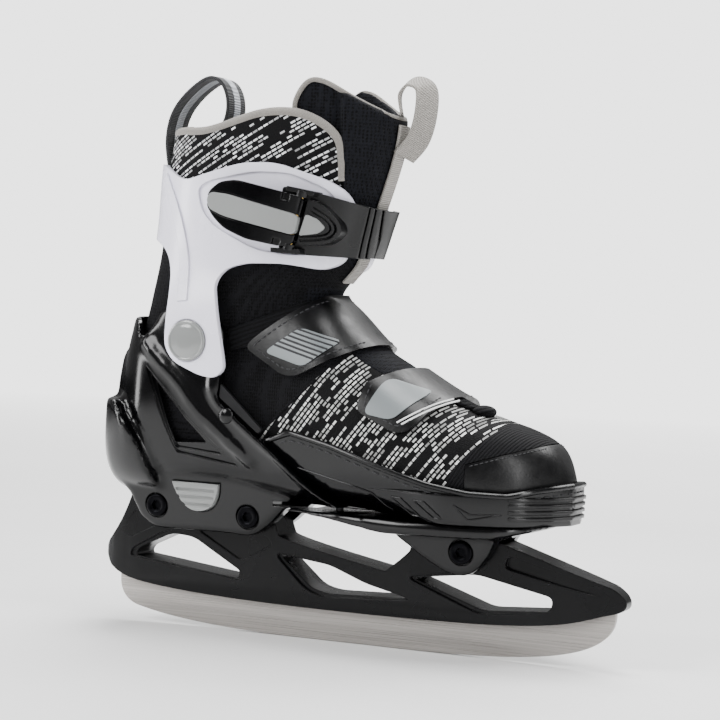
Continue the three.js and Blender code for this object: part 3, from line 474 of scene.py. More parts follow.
class Look:
    """A material under construction: its nodes, its shader and the piece's own coordinates."""

    def __init__(self, name):
        self.material = bpy.data.materials.new(name)
        self.material.use_nodes = True
        self.tree = self.material.node_tree
        self.base = self.tree.nodes["Principled BSDF"]
        self.place = self.add("ShaderNodeTexCoord", out="Object")

    def add(self, kind, links=(), out=0, **settings):
        return wire(self.tree, kind, links, **settings).outputs[out]

    def counted(self, x, y, z, lean=0.0):
        """The piece's coordinates, leaned by that many degrees, then counted in units of x, y and z."""
        leaned = self.add("ShaderNodeMapping",
                          {"Vector": self.place, "Rotation": (0.0, math.radians(lean), 0.0)})
        scale = (1 / (x * MM), 1 / (y * MM), 1 / (z * MM))
        return self.add("ShaderNodeMapping", {"Vector": leaned, "Scale": scale})

    def set(self, **values):
        for key, value in values.items():
            socket = self.base.inputs[key.replace("_", " ")]
            if isinstance(value, bpy.types.NodeSocket):
                self.tree.links.new(value, socket)
            else:
                socket.default_value = value

    def finished(self, height, millimetres, edge=0.0):
        """The material, with a relief from a height of 0 to 1 and edges rounded off by edge millimetres."""
        links = {"Strength": 1.0, "Distance": millimetres * MM, "Height": height}
        if edge:
            links["Normal"] = self.add("ShaderNodeBevel", {"Radius": edge * MM}, samples=4)
        self.tree.links.new(self.add("ShaderNodeBump", links), self.base.inputs["Normal"])
        return self.material


def plain(colour):
    return hexed(colour) if isinstance(colour, str) else (*colour, 1.0)


def moulded(name, colour, roughness, grain=0.06, edge=0.7, coat=0.0, size=0.5, shine=0.5):
    """Injection-moulded plastic: soft highlights that waver along 22 mm flow marks, and rounded edges."""
    look = Look(name)
    flow = look.add("ShaderNodeTexNoise", {"Vector": look.place, "Scale": 1 / (22 * MM), "Detail": 3.0})
    rough = look.add("ShaderNodeMapRange", (flow, 0.35, 0.65, roughness * 0.86, roughness * 1.16))
    look.set(Base_Color=plain(colour), Roughness=rough, Coat_Weight=coat, Coat_Roughness=0.08,
             Specular_IOR_Level=shine)
    pits = look.add("ShaderNodeTexNoise", {"Vector": look.place, "Scale": 1 / (size * MM), "Detail": 2.0})
    return look.finished(pits, grain, edge)


def brushed(name, colour, roughness, along=40.0, across=0.18, edge=0.3):
    """Ground metal: fine lines lengthwise, drawn as coarse as they need to be to show."""
    look = Look(name)
    lines = look.add("ShaderNodeTexNoise", {
        "Vector": look.counted(along, across, across), "Scale": 1.0, "Detail": 4.0, "Roughness": 0.6})
    tone = look.add("ShaderNodeMapRange", (lines, 0.3, 0.7, 0.72, 1.16))
    toned = look.add("ShaderNodeVectorMath", {0: hexed(colour)[:3], "Scale": tone}, operation="SCALE")
    rough = look.add("ShaderNodeMapRange", (lines, 0.3, 0.7, roughness * 0.8, roughness * 1.25))
    look.set(Base_Color=toned, Metallic=1.0, Roughness=rough)
    return look.finished(lines, 0.012, edge)


def dashed(name, ground, light, angle, row, pitch, share, bump=0.3):
    """Knit or woven fabric with rows of short light dashes that slant up to the toe."""
    look = Look(name)
    cells = look.counted(pitch, 1000.0, row, angle)
    parts = wire(look.tree, "ShaderNodeSeparateXYZ", (cells,)).outputs
    level = look.add("ShaderNodeMath", (parts[2],), operation="FLOOR")
    jog = look.add("ShaderNodeTexWhiteNoise", {"W": level}, noise_dimensions="1D")
    along = look.add("ShaderNodeMath", (parts[0], jog), operation="ADD")
    cell = look.add("ShaderNodeMath", (along,), operation="FLOOR")
    spot = look.add("ShaderNodeCombineXYZ", (cell, level))
    luck = look.add("ShaderNodeTexWhiteNoise", {"Vector": spot}, noise_dimensions="2D")
    shifted = look.add("ShaderNodeVectorMath", (spot, (17.3, 5.1, 0.0)), operation="ADD")
    tone = look.add("ShaderNodeTexWhiteNoise", {"Vector": shifted}, noise_dimensions="2D")
    # Dashes come in runs of about eight along a row, so each row fades in and out
    slow = look.add("ShaderNodeVectorMath", (spot, (0.13, 0.63, 0.0)), operation="MULTIPLY")
    run = look.add("ShaderNodeTexNoise", {"Vector": slow, "Scale": 1.0, "Detail": 1.0})
    chance = look.add("ShaderNodeMapRange", (run, 0.5 - 0.16 * share, 0.55))
    mask = look.add("ShaderNodeMath", (luck, chance), operation="LESS_THAN")
    for place, half in ((along, 0.4), (parts[2], 0.25)):
        part = look.add("ShaderNodeMath", (place,), operation="FRACT")
        off = look.add("ShaderNodeMath", (part, 0.5), operation="SUBTRACT")
        off = look.add("ShaderNodeMath", (off,), operation="ABSOLUTE")
        inside = look.add("ShaderNodeMath", (off, half), operation="LESS_THAN")
        mask = look.add("ShaderNodeMath", (mask, inside), operation="MULTIPLY")
    bright = look.add("ShaderNodeMapRange", (tone, 0.0, 1.0, 0.25, 1.0))
    mask = look.add("ShaderNodeMath", (mask, bright), operation="MULTIPLY")
    # Rib of the knit, one loop every 0.9 mm, with painted shade darkening the gaps between the loops
    knit = look.add("ShaderNodeTexVoronoi", {"Vector": look.counted(0.9, 0.9, 0.7, angle), "Scale": 1.0})
    depth = look.add("ShaderNodeMapRange", (knit, 0.1, 0.7))
    base = look.add("ShaderNodeMix", {0: depth, 6: hexed(ground), 7: hexed("#050506")}, out=2,
                    data_type="RGBA")
    tinted = look.add("ShaderNodeMix", {0: mask, 6: base, 7: hexed(light)}, out=2, data_type="RGBA")
    look.set(Base_Color=tinted, Roughness=0.85, Specular_IOR_Level=0.15)
    sunk = look.add("ShaderNodeMath", (knit, -1.0), operation="MULTIPLY")
    return look.finished(look.add("ShaderNodeMath", (sunk, mask), operation="ADD"), bump)


def meshed(name, colour, painted_shade_colour, size, bump=0.5, stretch=1.35):
    """Spacer mesh fabric: a dull face with round holes in staggered rows, darker in the holes: partly the
    openings, partly painted shade.
    """
    look = Look(name)
    cells = look.counted(size, size, size * stretch)
    holes = look.add("ShaderNodeTexVoronoi", {"Vector": cells, "Scale": 1.0, "Randomness": 0.25})
    face = look.add("ShaderNodeMapRange", (holes, 0.25, 0.5))
    wear = look.add("ShaderNodeTexNoise", {"Vector": look.place, "Scale": 1 / (9 * MM), "Detail": 3.0})
    dust = look.add("ShaderNodeMapRange", (wear, 0.3, 0.7, 0.75, 1.1))
    # The holes take the painted shade colour, where the relief sinks
    tone = look.add("ShaderNodeMix", {0: face, 6: hexed(painted_shade_colour), 7: hexed(colour)}, out=2, data_type="RGBA")
    dusty = look.add("ShaderNodeVectorMath", {0: tone, "Scale": dust}, operation="SCALE")
    look.set(Base_Color=dusty, Roughness=0.9, Specular_IOR_Level=0.15)
    return look.finished(face, bump)


def ribbed(name, colour, painted_shade_colour, pitch, angle):
    """Stretch fabric with fine cords side by side, one every pitch millimetres, with painted shade darkening
    the grooves between them.
    """
    look = Look(name)
    parts = wire(look.tree, "ShaderNodeSeparateXYZ", (look.counted(pitch, pitch, pitch, angle),)).outputs
    phase = look.add("ShaderNodeMath", (parts[2], math.pi), operation="MULTIPLY")
    wave = look.add("ShaderNodeMath", (phase,), operation="SINE")
    cord = look.add("ShaderNodeMath", (wave,), operation="ABSOLUTE")
    weave = look.add("ShaderNodeTexVoronoi", {"Vector": look.counted(0.8, 0.8, 0.8), "Scale": 1.0})
    sunk = look.add("ShaderNodeMath", (weave, -0.35), operation="MULTIPLY")
    height = look.add("ShaderNodeMath", (cord, sunk), operation="ADD")
    share = look.add("ShaderNodeMapRange", (height, -0.1, 0.8))
    # Painted shade: the grooves between the cords take the darker colour
    tone = look.add("ShaderNodeMix", {0: share, 6: hexed(painted_shade_colour), 7: hexed(colour)}, out=2, data_type="RGBA")
    look.set(Base_Color=tone, Roughness=0.85, Specular_IOR_Level=0.15)
    return look.finished(height, 0.35)


def twilled(name, colour, dark, size=1.1, angle=45.0, bump=0.25):
    """Woven webbing or lining: a diagonal twill with a fuzzy sheen, and painted shade darkening the low lines
    of the weave.
    """
    look = Look(name)
    waves = look.add("ShaderNodeTexWave", {
        "Vector": look.counted(size, size, size, angle), "Scale": 0.32, "Distortion": 0.6, "Detail": 2.0,
        "Detail Scale": 3.0}, out=1)
    fibres = look.add("ShaderNodeTexNoise", {"Vector": look.place, "Scale": 1 / (0.7 * MM), "Detail": 3.0})
    fuzz = look.add("ShaderNodeMapRange", (fibres, 0.3, 0.7, 0.8, 1.12))
    # Painted shade: the low lines of the twill take the darker colour
    tone = look.add("ShaderNodeMix", {0: waves, 6: hexed(dark), 7: hexed(colour)}, out=2, data_type="RGBA")
    fuzzy = look.add("ShaderNodeVectorMath", {0: tone, "Scale": fuzz}, operation="SCALE")
    look.set(Base_Color=fuzzy, Roughness=0.88, Sheen_Weight=0.2)
    return look.finished(waves, bump)


def leathered(name, colour, roughness=0.42, size=1.4, bump=0.16):
    """Coated synthetic leather: a pebbled grain that breaks up the highlight, with soft creases."""
    look = Look(name)
    pebbles = look.add("ShaderNodeTexVoronoi", {"Vector": look.counted(size, size, size), "Scale": 1.0},
                       feature="SMOOTH_F1")
    creases = look.add("ShaderNodeTexNoise", {
        "Vector": look.place, "Scale": 1 / (7 * MM), "Detail": 5.0, "Roughness": 0.6})
    grain = look.add("ShaderNodeMath", (pebbles, 0.5), operation="MULTIPLY")
    folds = look.add("ShaderNodeMath", (creases, 0.6), operation="MULTIPLY")
    rough = look.add("ShaderNodeMapRange", (creases, 0.3, 0.7, roughness * 0.8, roughness * 1.3))
    look.set(Base_Color=hexed(colour), Roughness=rough, Specular_IOR_Level=0.25)
    return look.finished(look.add("ShaderNodeMath", (grain, folds), operation="ADD"), bump)


def threaded(name, colour):
    """Sewing thread: painted shade in dark patches, standing in for the gaps between its twisted plies."""
    look = Look(name)
    twist = look.add("ShaderNodeTexNoise", {"Vector": look.place, "Scale": 1 / (0.4 * MM), "Detail": 2.0})
    share = look.add("ShaderNodeMapRange", (twist, 0.35, 0.65))
    tone = look.add("ShaderNodeMix", {0: share, 6: hexed(colour), 7: hexed("#000000")}, out=2,
                    data_type="RGBA")
    look.set(Base_Color=tone, Roughness=0.7)
    return look.finished(twist, 0.05)


LOOKS = {}


def settings():
    return bpy.context.scene.skate


def make_looks():
    LOOKS.update(
        # Ground lengthwise, so the edge of the blade glints in long streaks
        steel=brushed("Blade stainless steel", "#989490", 0.3, 60.0, 0.4),
        # Dark, faintly oily metal that shows only its highlights
        black_steel=brushed("Bolt black oxide", "#101012", 0.34, 3.0, 0.4, 0.2),
        # Bluish white metal
        zinc=brushed("Zinc plated steel", "#a7a9ad", 0.35, 3.0, 0.4, 0.2),
        # Yellow metal with the lines of the lathe
        brass=brushed("Turned brass", "#c2a05a", 0.28, 0.3, 3.0, 0.1),
        # Deep black with a broad, soft highlight
        holder=moulded("Holder satin plastic", "#040405", 0.27, 0.01, 0.9, 0.0, shine=0.16),
        # Deep black with sharp streaks of light
        shell=moulded("Chassis polished plastic", "#030304", 0.15, 0.006, 1.0, 0.0, shine=0.3),
        # Black between the two
        satin=moulded("Buckle satin plastic", "#050506", 0.28, 0.01, 0.6, 0.0, shine=0.28),
        # A spark-eroded panel, dull next to the polished plastic
        matte=moulded("Matte black panel", "#09090b", 0.6, 0.05, 0.4, shine=0.2),
        # Cold white with a thin clear skin
        white=moulded("Cuff white plastic", settings().cuff_colour, 0.26, 0.01, 0.9, 0.1),
        # Bright band along the middle of the dark webbing
        stripe=twilled("Silver reflective stripe", "#c9ccd2", "#9a9da3", 0.9),
        # Mid grey, soft highlight
        grey=moulded("Grey satin plastic", "#7f8180", 0.34, 0.015, 0.5),
        # The same grey, polished
        cap=moulded("Pivot cap grey plastic", "#7d7f7e", 0.12, 0.004, 0.6, 0.4),
        # Grey moulded rubber, nearly dull
        rubber=moulded("Grey strap patch", "#6a7072", 0.42, 0.02, 0.2),
        # Black ground with flat white dashes along the collar
        shaft=dashed("Shaft dashed fabric", "#070708", "#f2f2f4", 30, 1.9, 3.3, 0.55, 0.2),
        # Black ground with steeper, denser dashes
        knit=dashed("Forefoot dashed knit", "#070708", "#e6e6e4", 52, 2.1, 3.1, 0.8, 0.3),
        # Dull black with pin holes
        mesh=meshed("Quarter mesh fabric", "#0c0c0f", "#010101", 1.3, 0.4),
        # Dull black with fine slanting lines
        ribs=ribbed("Toe ribbed mesh", "#0c0c0f", "#010101", 1.5, 60),
        # The same with coarser lines
        roll=ribbed("Padded ribbed band", "#0b0b0e", "#010101", 2.2, 20),
        # Blue-black with wide holes
        tongue=meshed("Tongue mesh fabric", "#111217", "#020203", 1.5, 0.45, 1.2),
        # Warm dark grey inside the boot
        lining=twilled("Collar lining", "#6b6863", "#4a4845", 0.9),
        # Warm grey piping with a close weave
        binding=twilled("Grey edge binding", "#8d8983", "#6f6b66", 0.6, 30, 0.12),
        # Warm light grey with a coarse weave
        webbing=twilled("Grey webbing", "#a29e98", "#7d7973", 0.9),
        # Charcoal webbing
        dark_webbing=twilled("Dark webbing", "#1d1d22", "#0c0c0e", 0.8),
        # Black with a low, broken shine
        leather=leathered("Black synthetic leather", "#040405", 0.34, 1.2, 0.08),
        # Slightly lighter than the leather that it is sewn through
        thread=threaded("Black thread", "#26262a"),
        # Dark fabric over foam
        foam=twilled("Insole fabric", "#2c2c30", "#18181b", 0.8),
        # Flat white ink
        patch=moulded("White print", "#e4e4e4", 0.5, 0.01, 0.0),
    )


# ---- Showing a piece ------------------------------------------------------------------------------


def shown(name, made, look, body, nodes=(), slot=None, sharp=32.0, modifiers=(), blend=None, padded=None,
          inside=None):
    """Makes a finished object in metres from a surface in millimetres and fixes it to its body; a piece given
    a blend is left unparented, with its transform baked in.
    """
    if modifiers:
        made = made.changed(*modifiers)
    mesh = made.mesh.copy()
    mesh.name = name
    mesh.transform(Matrix.Scale(MM, 4))
    bm = bmesh.new()
    bm.from_mesh(mesh)
    bmesh.ops.remove_doubles(bm, verts=bm.verts, dist=1e-7)
    bmesh.ops.recalc_face_normals(bm, faces=bm.faces)
    bm.to_mesh(mesh)
    bm.free()
    if not mesh.polygons:
        raise RuntimeError(f"{name} came out empty")
    mesh.shade_smooth()
    mesh.set_sharp_from_angle(angle=math.radians(sharp))
    mesh.materials.clear()
    mesh.materials.append(LOOKS[look])
    if inside:
        # Faces that look towards the middle of the boot take the lining
        mesh.materials.append(LOOKS[inside])
        for face in mesh.polygons:
            away = face.center - Vector((-50 * MM, 0, face.center.z))
            face.material_index = 1 if away.dot(face.normal) < -0.35 * away.length else 0
    piece = bpy.data.objects.new(name, mesh)
    bpy.context.scene.collection.objects.link(piece)
    if blend:
        [c * MM for c in blend[0]]
        [c * MM for c in blend[1]]
        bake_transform(piece)
    else:
        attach(piece, body)
    if nodes:
        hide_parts(*nodes)
    return piece


def small_bevel():
    return ("BEVEL", {"width": settings().edge_round, "segments": 2, "limit_method": "ANGLE",
                      "angle_limit": math.radians(40)})


# ---- Blade and holder -----------------------------------------------------------------------------

holder_under = profile([
    (-1, 32), (-0.93, 25.6), (-0.81, 21.4), (-0.56, 18.3), (-0.2, 16.8),
    (0.28, 17), (0.58, 18.6), (0.79, 22.3), (0.95, 29),
])


def under_at(x):
    return holder_under(x / 145)


def curve(a, b, c, steps=10):
    """Points after a on the quadratic curve from a by b to c."""
    a, b, c = Vector(a), Vector(b), Vector(c)
    shares = [k / steps for k in range(1, steps + 1)]
    return [tuple((1 - t) ** 2 * a + 2 * t * (1 - t) * b + t * t * c) for t in shares]


def blade_side(grow=0.0):
    k = (138 + grow) / 138
    path = [(-30, -grow), (30, -grow)]
    path += curve(path[-1], (75 * k, -grow), (100 * k, 3.8 - grow))
    path += curve(path[-1], (118 * k, 6.5 - grow), (127 * k, 11.5 - grow))
    path += curve(path[-1], (138 * k, 17.6 - grow), (138 * k, 27))
    path += [(i / 24 * 138 * k, under_at(i / 24 * 138 * k) + 5 + grow) for i in range(24, -25, -1)]
    path += [(-138 * k, 22)]
    path += curve(path[-1], (-138 * k, 11.5 - grow), (-128 * k, 8 - grow))
    path += curve(path[-1], (-116 * k, 5 - grow), (-100 * k, 3.2 - grow))
    path += curve(path[-1], (-72 * k, -grow), (-30, -grow))
    return path[:-1]


def build_blade():
    made = plate(blade_side(), -1.75, 1.75)
    shown("blade_steel", made, "steel", "shell", ["blade"], "blade_steel", modifiers=[small_bevel()])


HOLDER_WINDOWS = (
    [(-125, 35.5), (-123.5, 39.5), (-104, 49), (-91, 48), (-63, 32.5), (-64, 28.5)],
    [(-41, 43.5), (-22, 27.5), (-13, 25.5), (32, 27), (8, 32.5), (-12, 40)],
    [(33, 38), (68, 42.5), (108, 34.5), (107, 27.5), (72, 25)],
)


def grown(points, by):
    """An outline moved outwards by about that much, from its middle."""
    cx = sum(p[0] for p in points) / len(points)
    cz = sum(p[1] for p in points) / len(points)
    made = []
    for x, z in points:
        d = math.hypot(x - cx, z - cz)
        made.append((x + (x - cx) / d * by, z + (z - cz) / d * by * 0.8))
    return made


def holder_side():
    path = [(-144, 34)]
    path += curve(path[-1], (-146, 38), (-142, 43))
    path += curve(path[-1], (-133, 54), (-128, 69))
    path += [(-100, 70.1), (-97, 61), (-68, 61), (-65, 69), (-46, 69)]
    path += curve(path[-1], (-43, 57), (-41, 53))
    path += curve(path[-1], (-36, 50), (19, 40))
    path += curve(path[-1], (28, 47), (32, 51.5))
    path += [(34, 60), (78, 59.8)]
    path += curve(path[-1], (100, 53), (136, 42))
    path += curve(path[-1], (144, 38), (144, 34))
    path += curve(path[-1], (144, 31), (140, 29.5))
    path += [(i / 34 * 145, under_at(i / 34 * 145)) for i in range(31, -34, -1)]
    return path


def build_holder():
    w, t, end = 11.0, 8.5, 146.0
    section = [(-w + 4, 12), (w - 4, 12), (w, 25), (w, 90), (-w, 90), (-w, 25)]
    plan = [(-end, -w + 4), (-end + 18, -w), (60, -w), (end - 20, -t), (end, -t + 4),
            (end, t - 4), (end - 20, t), (60, w), (-end + 18, w), (-end, w - 4)]
    made = plate(holder_side(), -w, w) & bar(section, -end, end, 2.5)
    made = made & slab(plan, 0, 100, 10)
    for points in HOLDER_WINDOWS:
        made = made - plate(points, radius=4)
    # Each window's mouth widens in a chamfered step on both faces
    for side in (-1, 1):
        for points in HOLDER_WINDOWS:
            pocket = plate(grown(points, 3.2), *sorted((side * 9.4, side * 40)), radius=6)
            made = made - pocket
        # Shallow panels along the toe bar and over the rear window
        for points in (
            [(84, 53.5), (82, 47), (112, 40.5), (134, 36.5), (137, 39.5), (112, 46.6)],
            [(-136, 46), (-128, 45), (-112, 53), (-118, 60), (-126, 60)],
            [(-88, 52), (-62, 38), (-44, 48), (-48, 52), (-60, 57)],
        ):
            depth = 7.3 if points[0][0] > 60 else 10.0
            made = made - plate(points, *sorted((side * depth, side * 40)), radius=3)
    made = made - plate(blade_side(0.25), -2.0, 2.0)
    for x, z in BOLTS.values():
        made = made - rod(x, z, BOLT_BORE, -12, 12)
    shown("blade_holder_body", made, "holder", "shell", ["blade_holder"], "satin_black_plastic", sharp=25)


# ---- Chassis --------------------------------------------------------------------------------------


def tower_half(z):
    return TOWER_HALF + TOWER_LEAN * (z - TOWER_BOTTOM)


def tower(points, x_from, x_to, z_to, radius=5.0):
    z_from = TOWER_BOTTOM - 10
    low, high = tower_half(z_from), tower_half(z_to)
    section = [(-low, z_from), (low, z_from), (high, z_to), (-high, z_to)]
    return bar(section, x_from, x_to) & plate(points, radius=radius)


def sole_plate():
    steps = 48
    x_from, x_to = -45.0, TOE_X - 9

    def edge(i, side):
        x = x_from + (x_to - x_from) * math.sin(i / steps * math.pi / 2)
        s = (x - HEEL_X) / FOOT_LENGTH
        margin = 5 + 14 * max(i / steps - 0.8, 0) / 0.2
        return x, foot_middle(s) + side * max(foot_width(s) * FOOT_WIDTH / 2 - margin, 6)

    plan = [edge(i, -1) for i in range(steps + 1)] + [edge(i, 1) for i in range(steps, -1, -1)]
    side = [(-36, SOLE_TOP), (-5, 66.3), (26, 61.8), (80, 62.4), (TOE_X - 6, 67.4), (TOE_X, SOLE_TOP)]
    return slab(plan, 55, SOLE_TOP) & plate(side)


CUP_REGION = [
    (-160, 50), (-160, 163), (-126, 163), (-119.5, 160), (-114, 151), (-107, 159), (-102, 167),
    (-72, 168.5), (-63, 158), (-63, 135), (-65, 123), (-50, 111.5), (-30, 96), (-18, 85),
    (-7, 76.5), (4, 71), (14, 50),
]


def button_side(grow):
    half, top, low = 13.5 + grow, 78 + grow, 63.5 - grow
    path = [(BUTTON_X - half, top), (BUTTON_X + half, top)]
    path += curve(path[-1], (BUTTON_X + half - 1, low), (BUTTON_X + 2, low))
    path += curve(path[-1], (BUTTON_X - half * 0.55, low), (BUTTON_X - half, top))
    return path[:-1]


def strip(points, width):
    """A ribbon of that width along a line in the side view."""
    line = [Vector(p) for p in points]
    left, right = [], []
    for i, p in enumerate(line):
        along = (line[min(i + 1, len(line) - 1)] - line[max(i - 1, 0)]).normalized()
        across = Vector((-along.y, along.x)) * width / 2
        left.append(tuple(p + across))
        right.append(tuple(p - across))
    return left + right[::-1]


def build_chassis():
    form = boot(CUP_OUT)
    bulge = foot(12) & plate([(-160, 60), (-160, 121), (-126, 119), (-110, 98), (-100, 60)], radius=4)
    cup = form + bulge
    # Raised struts: down the front edge from the pivot, and over the side window
    raised = boot(CUP_OUT + 1.8)
    for line, width in (
        ([(-67, 168), (-66, 140), (-66, 126), (-52, 114), (-32, 99), (-12, 82), (6, 70)], 7.0),
        ([(-112, 152), (-103, 143), (-90, 132), (-76, 117), (-62, 104), (-46, 90)], 5.0),
    ):
        cup = cup + (raised & plate(strip(smooth2(line), width)))
    lip = [(-20, 143), (0, 151), (20, 143), (17, 102), (0, 94), (-17, 102)]
    cup = cup + (boot(CUP_OUT + 2.2) & bar(lip, -160, -112, 7))
    made = cup & plate(CUP_REGION, radius=3)
    made = made + tower([(-136, 84), (-123, 69), (-119, 58), (-111, 52), (-68, 52.5), (-54, 51.5),
                         (-45, 57), (-33, 69), (-25, 84)], -136, -25, 83)
    made = made + sole_plate()
    made = made + tower([(24, 68), (26, 60), (45, 47), (57, 41.5), (66, 42), (74, 49), (79, 58), (84, 68)],
                        24, 84, SOLE_TOP)
    # The moulding's fillets: the walls flow into the towers and the sole
    made = made.changed(
        ("REMESH", {"mode": "VOXEL", "voxel_size": 1.4}),
        ("SMOOTH", {"factor": 0.5, "iterations": 14}),
    )
    made = made - (boot(CUP_IN) & block(-FAR, 60, -FAR, FAR, 0, FAR))
    made = made - (block(-60, FAR, -FAR, FAR, SOLE_TOP, 90) & foot(CUP_IN))
    made = made - block(-40, FAR, -FAR, FAR, SOLE_TOP, 72)
    # Side windows in a deep two-step bevel
    made = made - plate([(-102.5, 130), (-91.5, 99), (-73, 100)], radius=1.5)
    for depth, outline in (
        (1.0, [(-109, 138), (-90.5, 94), (-55, 88.5)]),
        (2.2, [(-105.5, 133.5), (-91, 96.5), (-64, 94)]),
    ):
        mouth = boot(CUP_OUT + 8) - boot(CUP_OUT - depth)
        made = made - (mouth & plate(outline, radius=1.5))
    rear = [(-15, 138), (0, 146), (15, 138), (12, 106), (0, 100), (-12, 106)]
    made = made - bar(rear, -160, -110, 6)
    w = HOLDER_SLOT
    made = made - block(-160, -20, -w, w, 30, 70.6)
    made = made - block(20, 90, -w, w, 30, 60.6)
    made = made - block(-20, 20, -w, w, 30, 60)
    made = made - plate(button_side(0.5), -60, -w + 1)
    for x, z in BOLTS.values():
        recess = tower_half(z) - 2.4
        made = made - rod(x, z, BOLT_BORE, -60, 60)
        for side in (-1, 1):
            made = made - rod(x, z, BOLT_POCKET, *sorted((side * 60, side * recess)))
    made = made - rod(PIVOT_X, PIVOT_Z, PIVOT_BORE, -FAR, FAR)
    for side in (-1, 1):
        made = made - rod(PIVOT_X, PIVOT_Z, 20, *sorted((CUP_SEAT * side, FAR * side)))
    made = made - rod(-59.5, 114.9, 4.6, -FAR, FAR)
    made = made - block(-14.5, 10.5, -2.5, 2.5, 50, 75)
    made = made - block(-17, 13, -5, 5, 50, 66.8)
    shown("chassis_body", made, "shell", "shell", ["chassis_shell"], "gloss_black_plastic", sharp=28)
    # Matte triangle let into the front strut of each side
    skin = boot(CUP_OUT + 0.5) - boot(CUP_OUT - 1.4)
    panel = skin & plate([(-63.5, 131), (-64, 124), (-41, 107), (-38.5, 109)], radius=1)
    for side, y0, y1 in (("outer", -FAR, -5), ("inner", 5, FAR)):
        shown(f"matte_panel_{side}", panel & block(-FAR, FAR, y0, y1, 0, FAR), "matte", "shell",
              slot="satin_black_plastic")


def smooth2(points, steps=6):
    """Side view points along a smooth curve through the given ones."""
    return [(p.x, p.y) for p in smooth_line([(x, z, 0) for x, z in points], steps)]


def build_fixings():
    for name, (x, z) in BOLTS.items():
        out = tower_half(z) + 0.8
        under = out - 3
        head = turned(x, z, -1, [(0, -11), (2.8, -11), (2.8, 0), (4, 0), (4, under), (6, under),
                                 (6, out - 0.9),
                                 (5.7, out - 0.35), (5.1, out), (3.6, out), (3.2, out - 0.3), (0, out - 0.3)])
        head = head - rod(x, z, 5.4, -out - 1, -out + 2.2, 6)
        shown(f"bolt_{name}", head, "black_steel", "shell", [f"mount_bolt_{name}"], "black_steel", sharp=40)
        nut = turned(x, z, 1, [(0, 11.3), (3.1, 11.3), (3.1, 0.3), (4, 0.3), (4, under), (6, under),
                               (6, out - 0.9),
                               (5.7, out - 0.35), (5.1, out), (0, out)])
        nut = nut - block(x - 4.2, x + 4.2, out - 1.2, out + 1, z - 0.7, z + 0.7)
        shown(f"nut_{name}", nut, "black_steel", "shell", [f"sleeve_nut_{name}"], "black_steel", sharp=40)
    s = (-59.5 - HEEL_X) / FOOT_LENGTH
    face = foot_width(s) * FOOT_WIDTH / 2 + CUP_OUT
    dome = [(0, face - 4), (2, face - 4), (2, face + 0.8), (4.25, face + 0.8)]
    dome += [(4.25 * math.cos(a), face + 0.8 + 2 * math.sin(a)) for a in (0.25, 0.5, 0.8, 1.1, 1.35)]
    dome += [(0, face + 2.8)]
    for place, side in (("outer", -1), ("inner", 1)):
        shown(f"rivet_{place}", turned(-59.5, 114.9, side, dome), "shell", "shell",
              [f"liner_rivet_{place}"], "gloss_black_plastic", sharp=50)


def build_size_button():
    face = -tower_half(78 - 7.25)
    cap = plate(button_side(0), face - 3, face + 3)
    for z in (74.3, 70.6, 66.9):
        cap = cap - block(BUTTON_X - 11, BUTTON_X + 11, face - 6, face - 2.0, z - 0.75, z + 0.75)
    cap = cap + block(BUTTON_X - 3.5, BUTTON_X + 3.5, face + 2, -11, 66, 69.6)
    shown("size_button_cap", cap, "grey", "size_release", ["size_button"], "grey_plastic",
          modifiers=[small_bevel()])
    latch = block(BUTTON_X - 5, BUTTON_X + 5, -10.7, 15, 70.6, 72.8)
    latch = latch + block(BUTTON_X - 3, BUTTON_X + 3, -10.7, -9, 63.5, 71.6)
    latch = latch + block(BUTTON_X - 1.6, BUTTON_X + 1.6, 12.9, 15, 71.6, 79.7)
    shown("size_latch_plate", latch, "zinc", "size_release", ["size_latch"], "zinc_steel",
          modifiers=[small_bevel()])
    turns, steps = 7, 20
    coil = [(BUTTON_X + 2.55 * math.cos(TURN * i / steps), -8.3 + 13.2 * i / (turns * steps),
             66.5 + 2.55 * math.sin(TURN * i / steps)) for i in range(turns * steps + 1)]
    shown("size_spring_coil", swept(coil, circle(0.4, 8), up=(0, 1, 0)), "zinc", "size_release",
          ["size_spring"], "zinc_steel")


def build_heel_insert():
    w = HOLDER_SLOT
    side = [(-w, 109.5), (w, 109.5), (w + 1.5, 136), (-w - 1.5, 136)]
    outer = [(-w + 2, 104), (0, 101.5), (w - 2, 104), (w + 1.2, 134), (0, 138.5), (-w - 1.2, 134)]
    outer = [(u * 0.97, min(max(v, 109.6), 135.9)) for u, v in outer]
    made = (boot(CUP_OUT) - boot(0.5)) & bar(outer, -160, -110, 3)
    made = made & bar(side, -160, -110, 5)
    skin = boot(CUP_OUT + 2) - boot(CUP_OUT - 0.8)
    groove = skin & bar([(-5, 113), (5, 113), (6.5, 131), (-6.5, 131)], -160, -110, 4)
    shown("heel_insert_panel", made - groove, "grey", "shell", ["heel_insert"], "grey_plastic")


# ---- Toe shell ------------------------------------------------------------------------------------

TOE_RIM = [
    (-62, 60), (-62, 95), (-24, 109), (0, 104), (28, 95.5), (52, 89), (72, 85.6), (90, 85),
    (102, 88), (130, 93), (130, 60),
]


def foot_side(x, z, grow):
    """Half width of the foot form at a place in the side view, and its middle."""
    s = min(max((x - HEEL_X + grow) / (FOOT_LENGTH + 2 * grow), 0), 1)
    half = foot_width(s) * FOOT_WIDTH / 2 + grow
    under, over = foot_under(s) - grow, foot_over(s) + grow
    widest = under + 0.42 * (over - under)
    rise = over - widest if z > widest else widest - under
    return half * (1 - min(abs((z - widest) / rise), 1) ** 2.6) ** (1 / 2.6), foot_middle(s)


def rim_height(x):
    line = TOE_RIM[1:-1]
    for (x0, z0), (x1, z1) in zip(line, line[1:]):
        if x <= x1:
            return z0 + (z1 - z0) * max((x - x0) / (x1 - x0), 0)
    return line[-1][1]


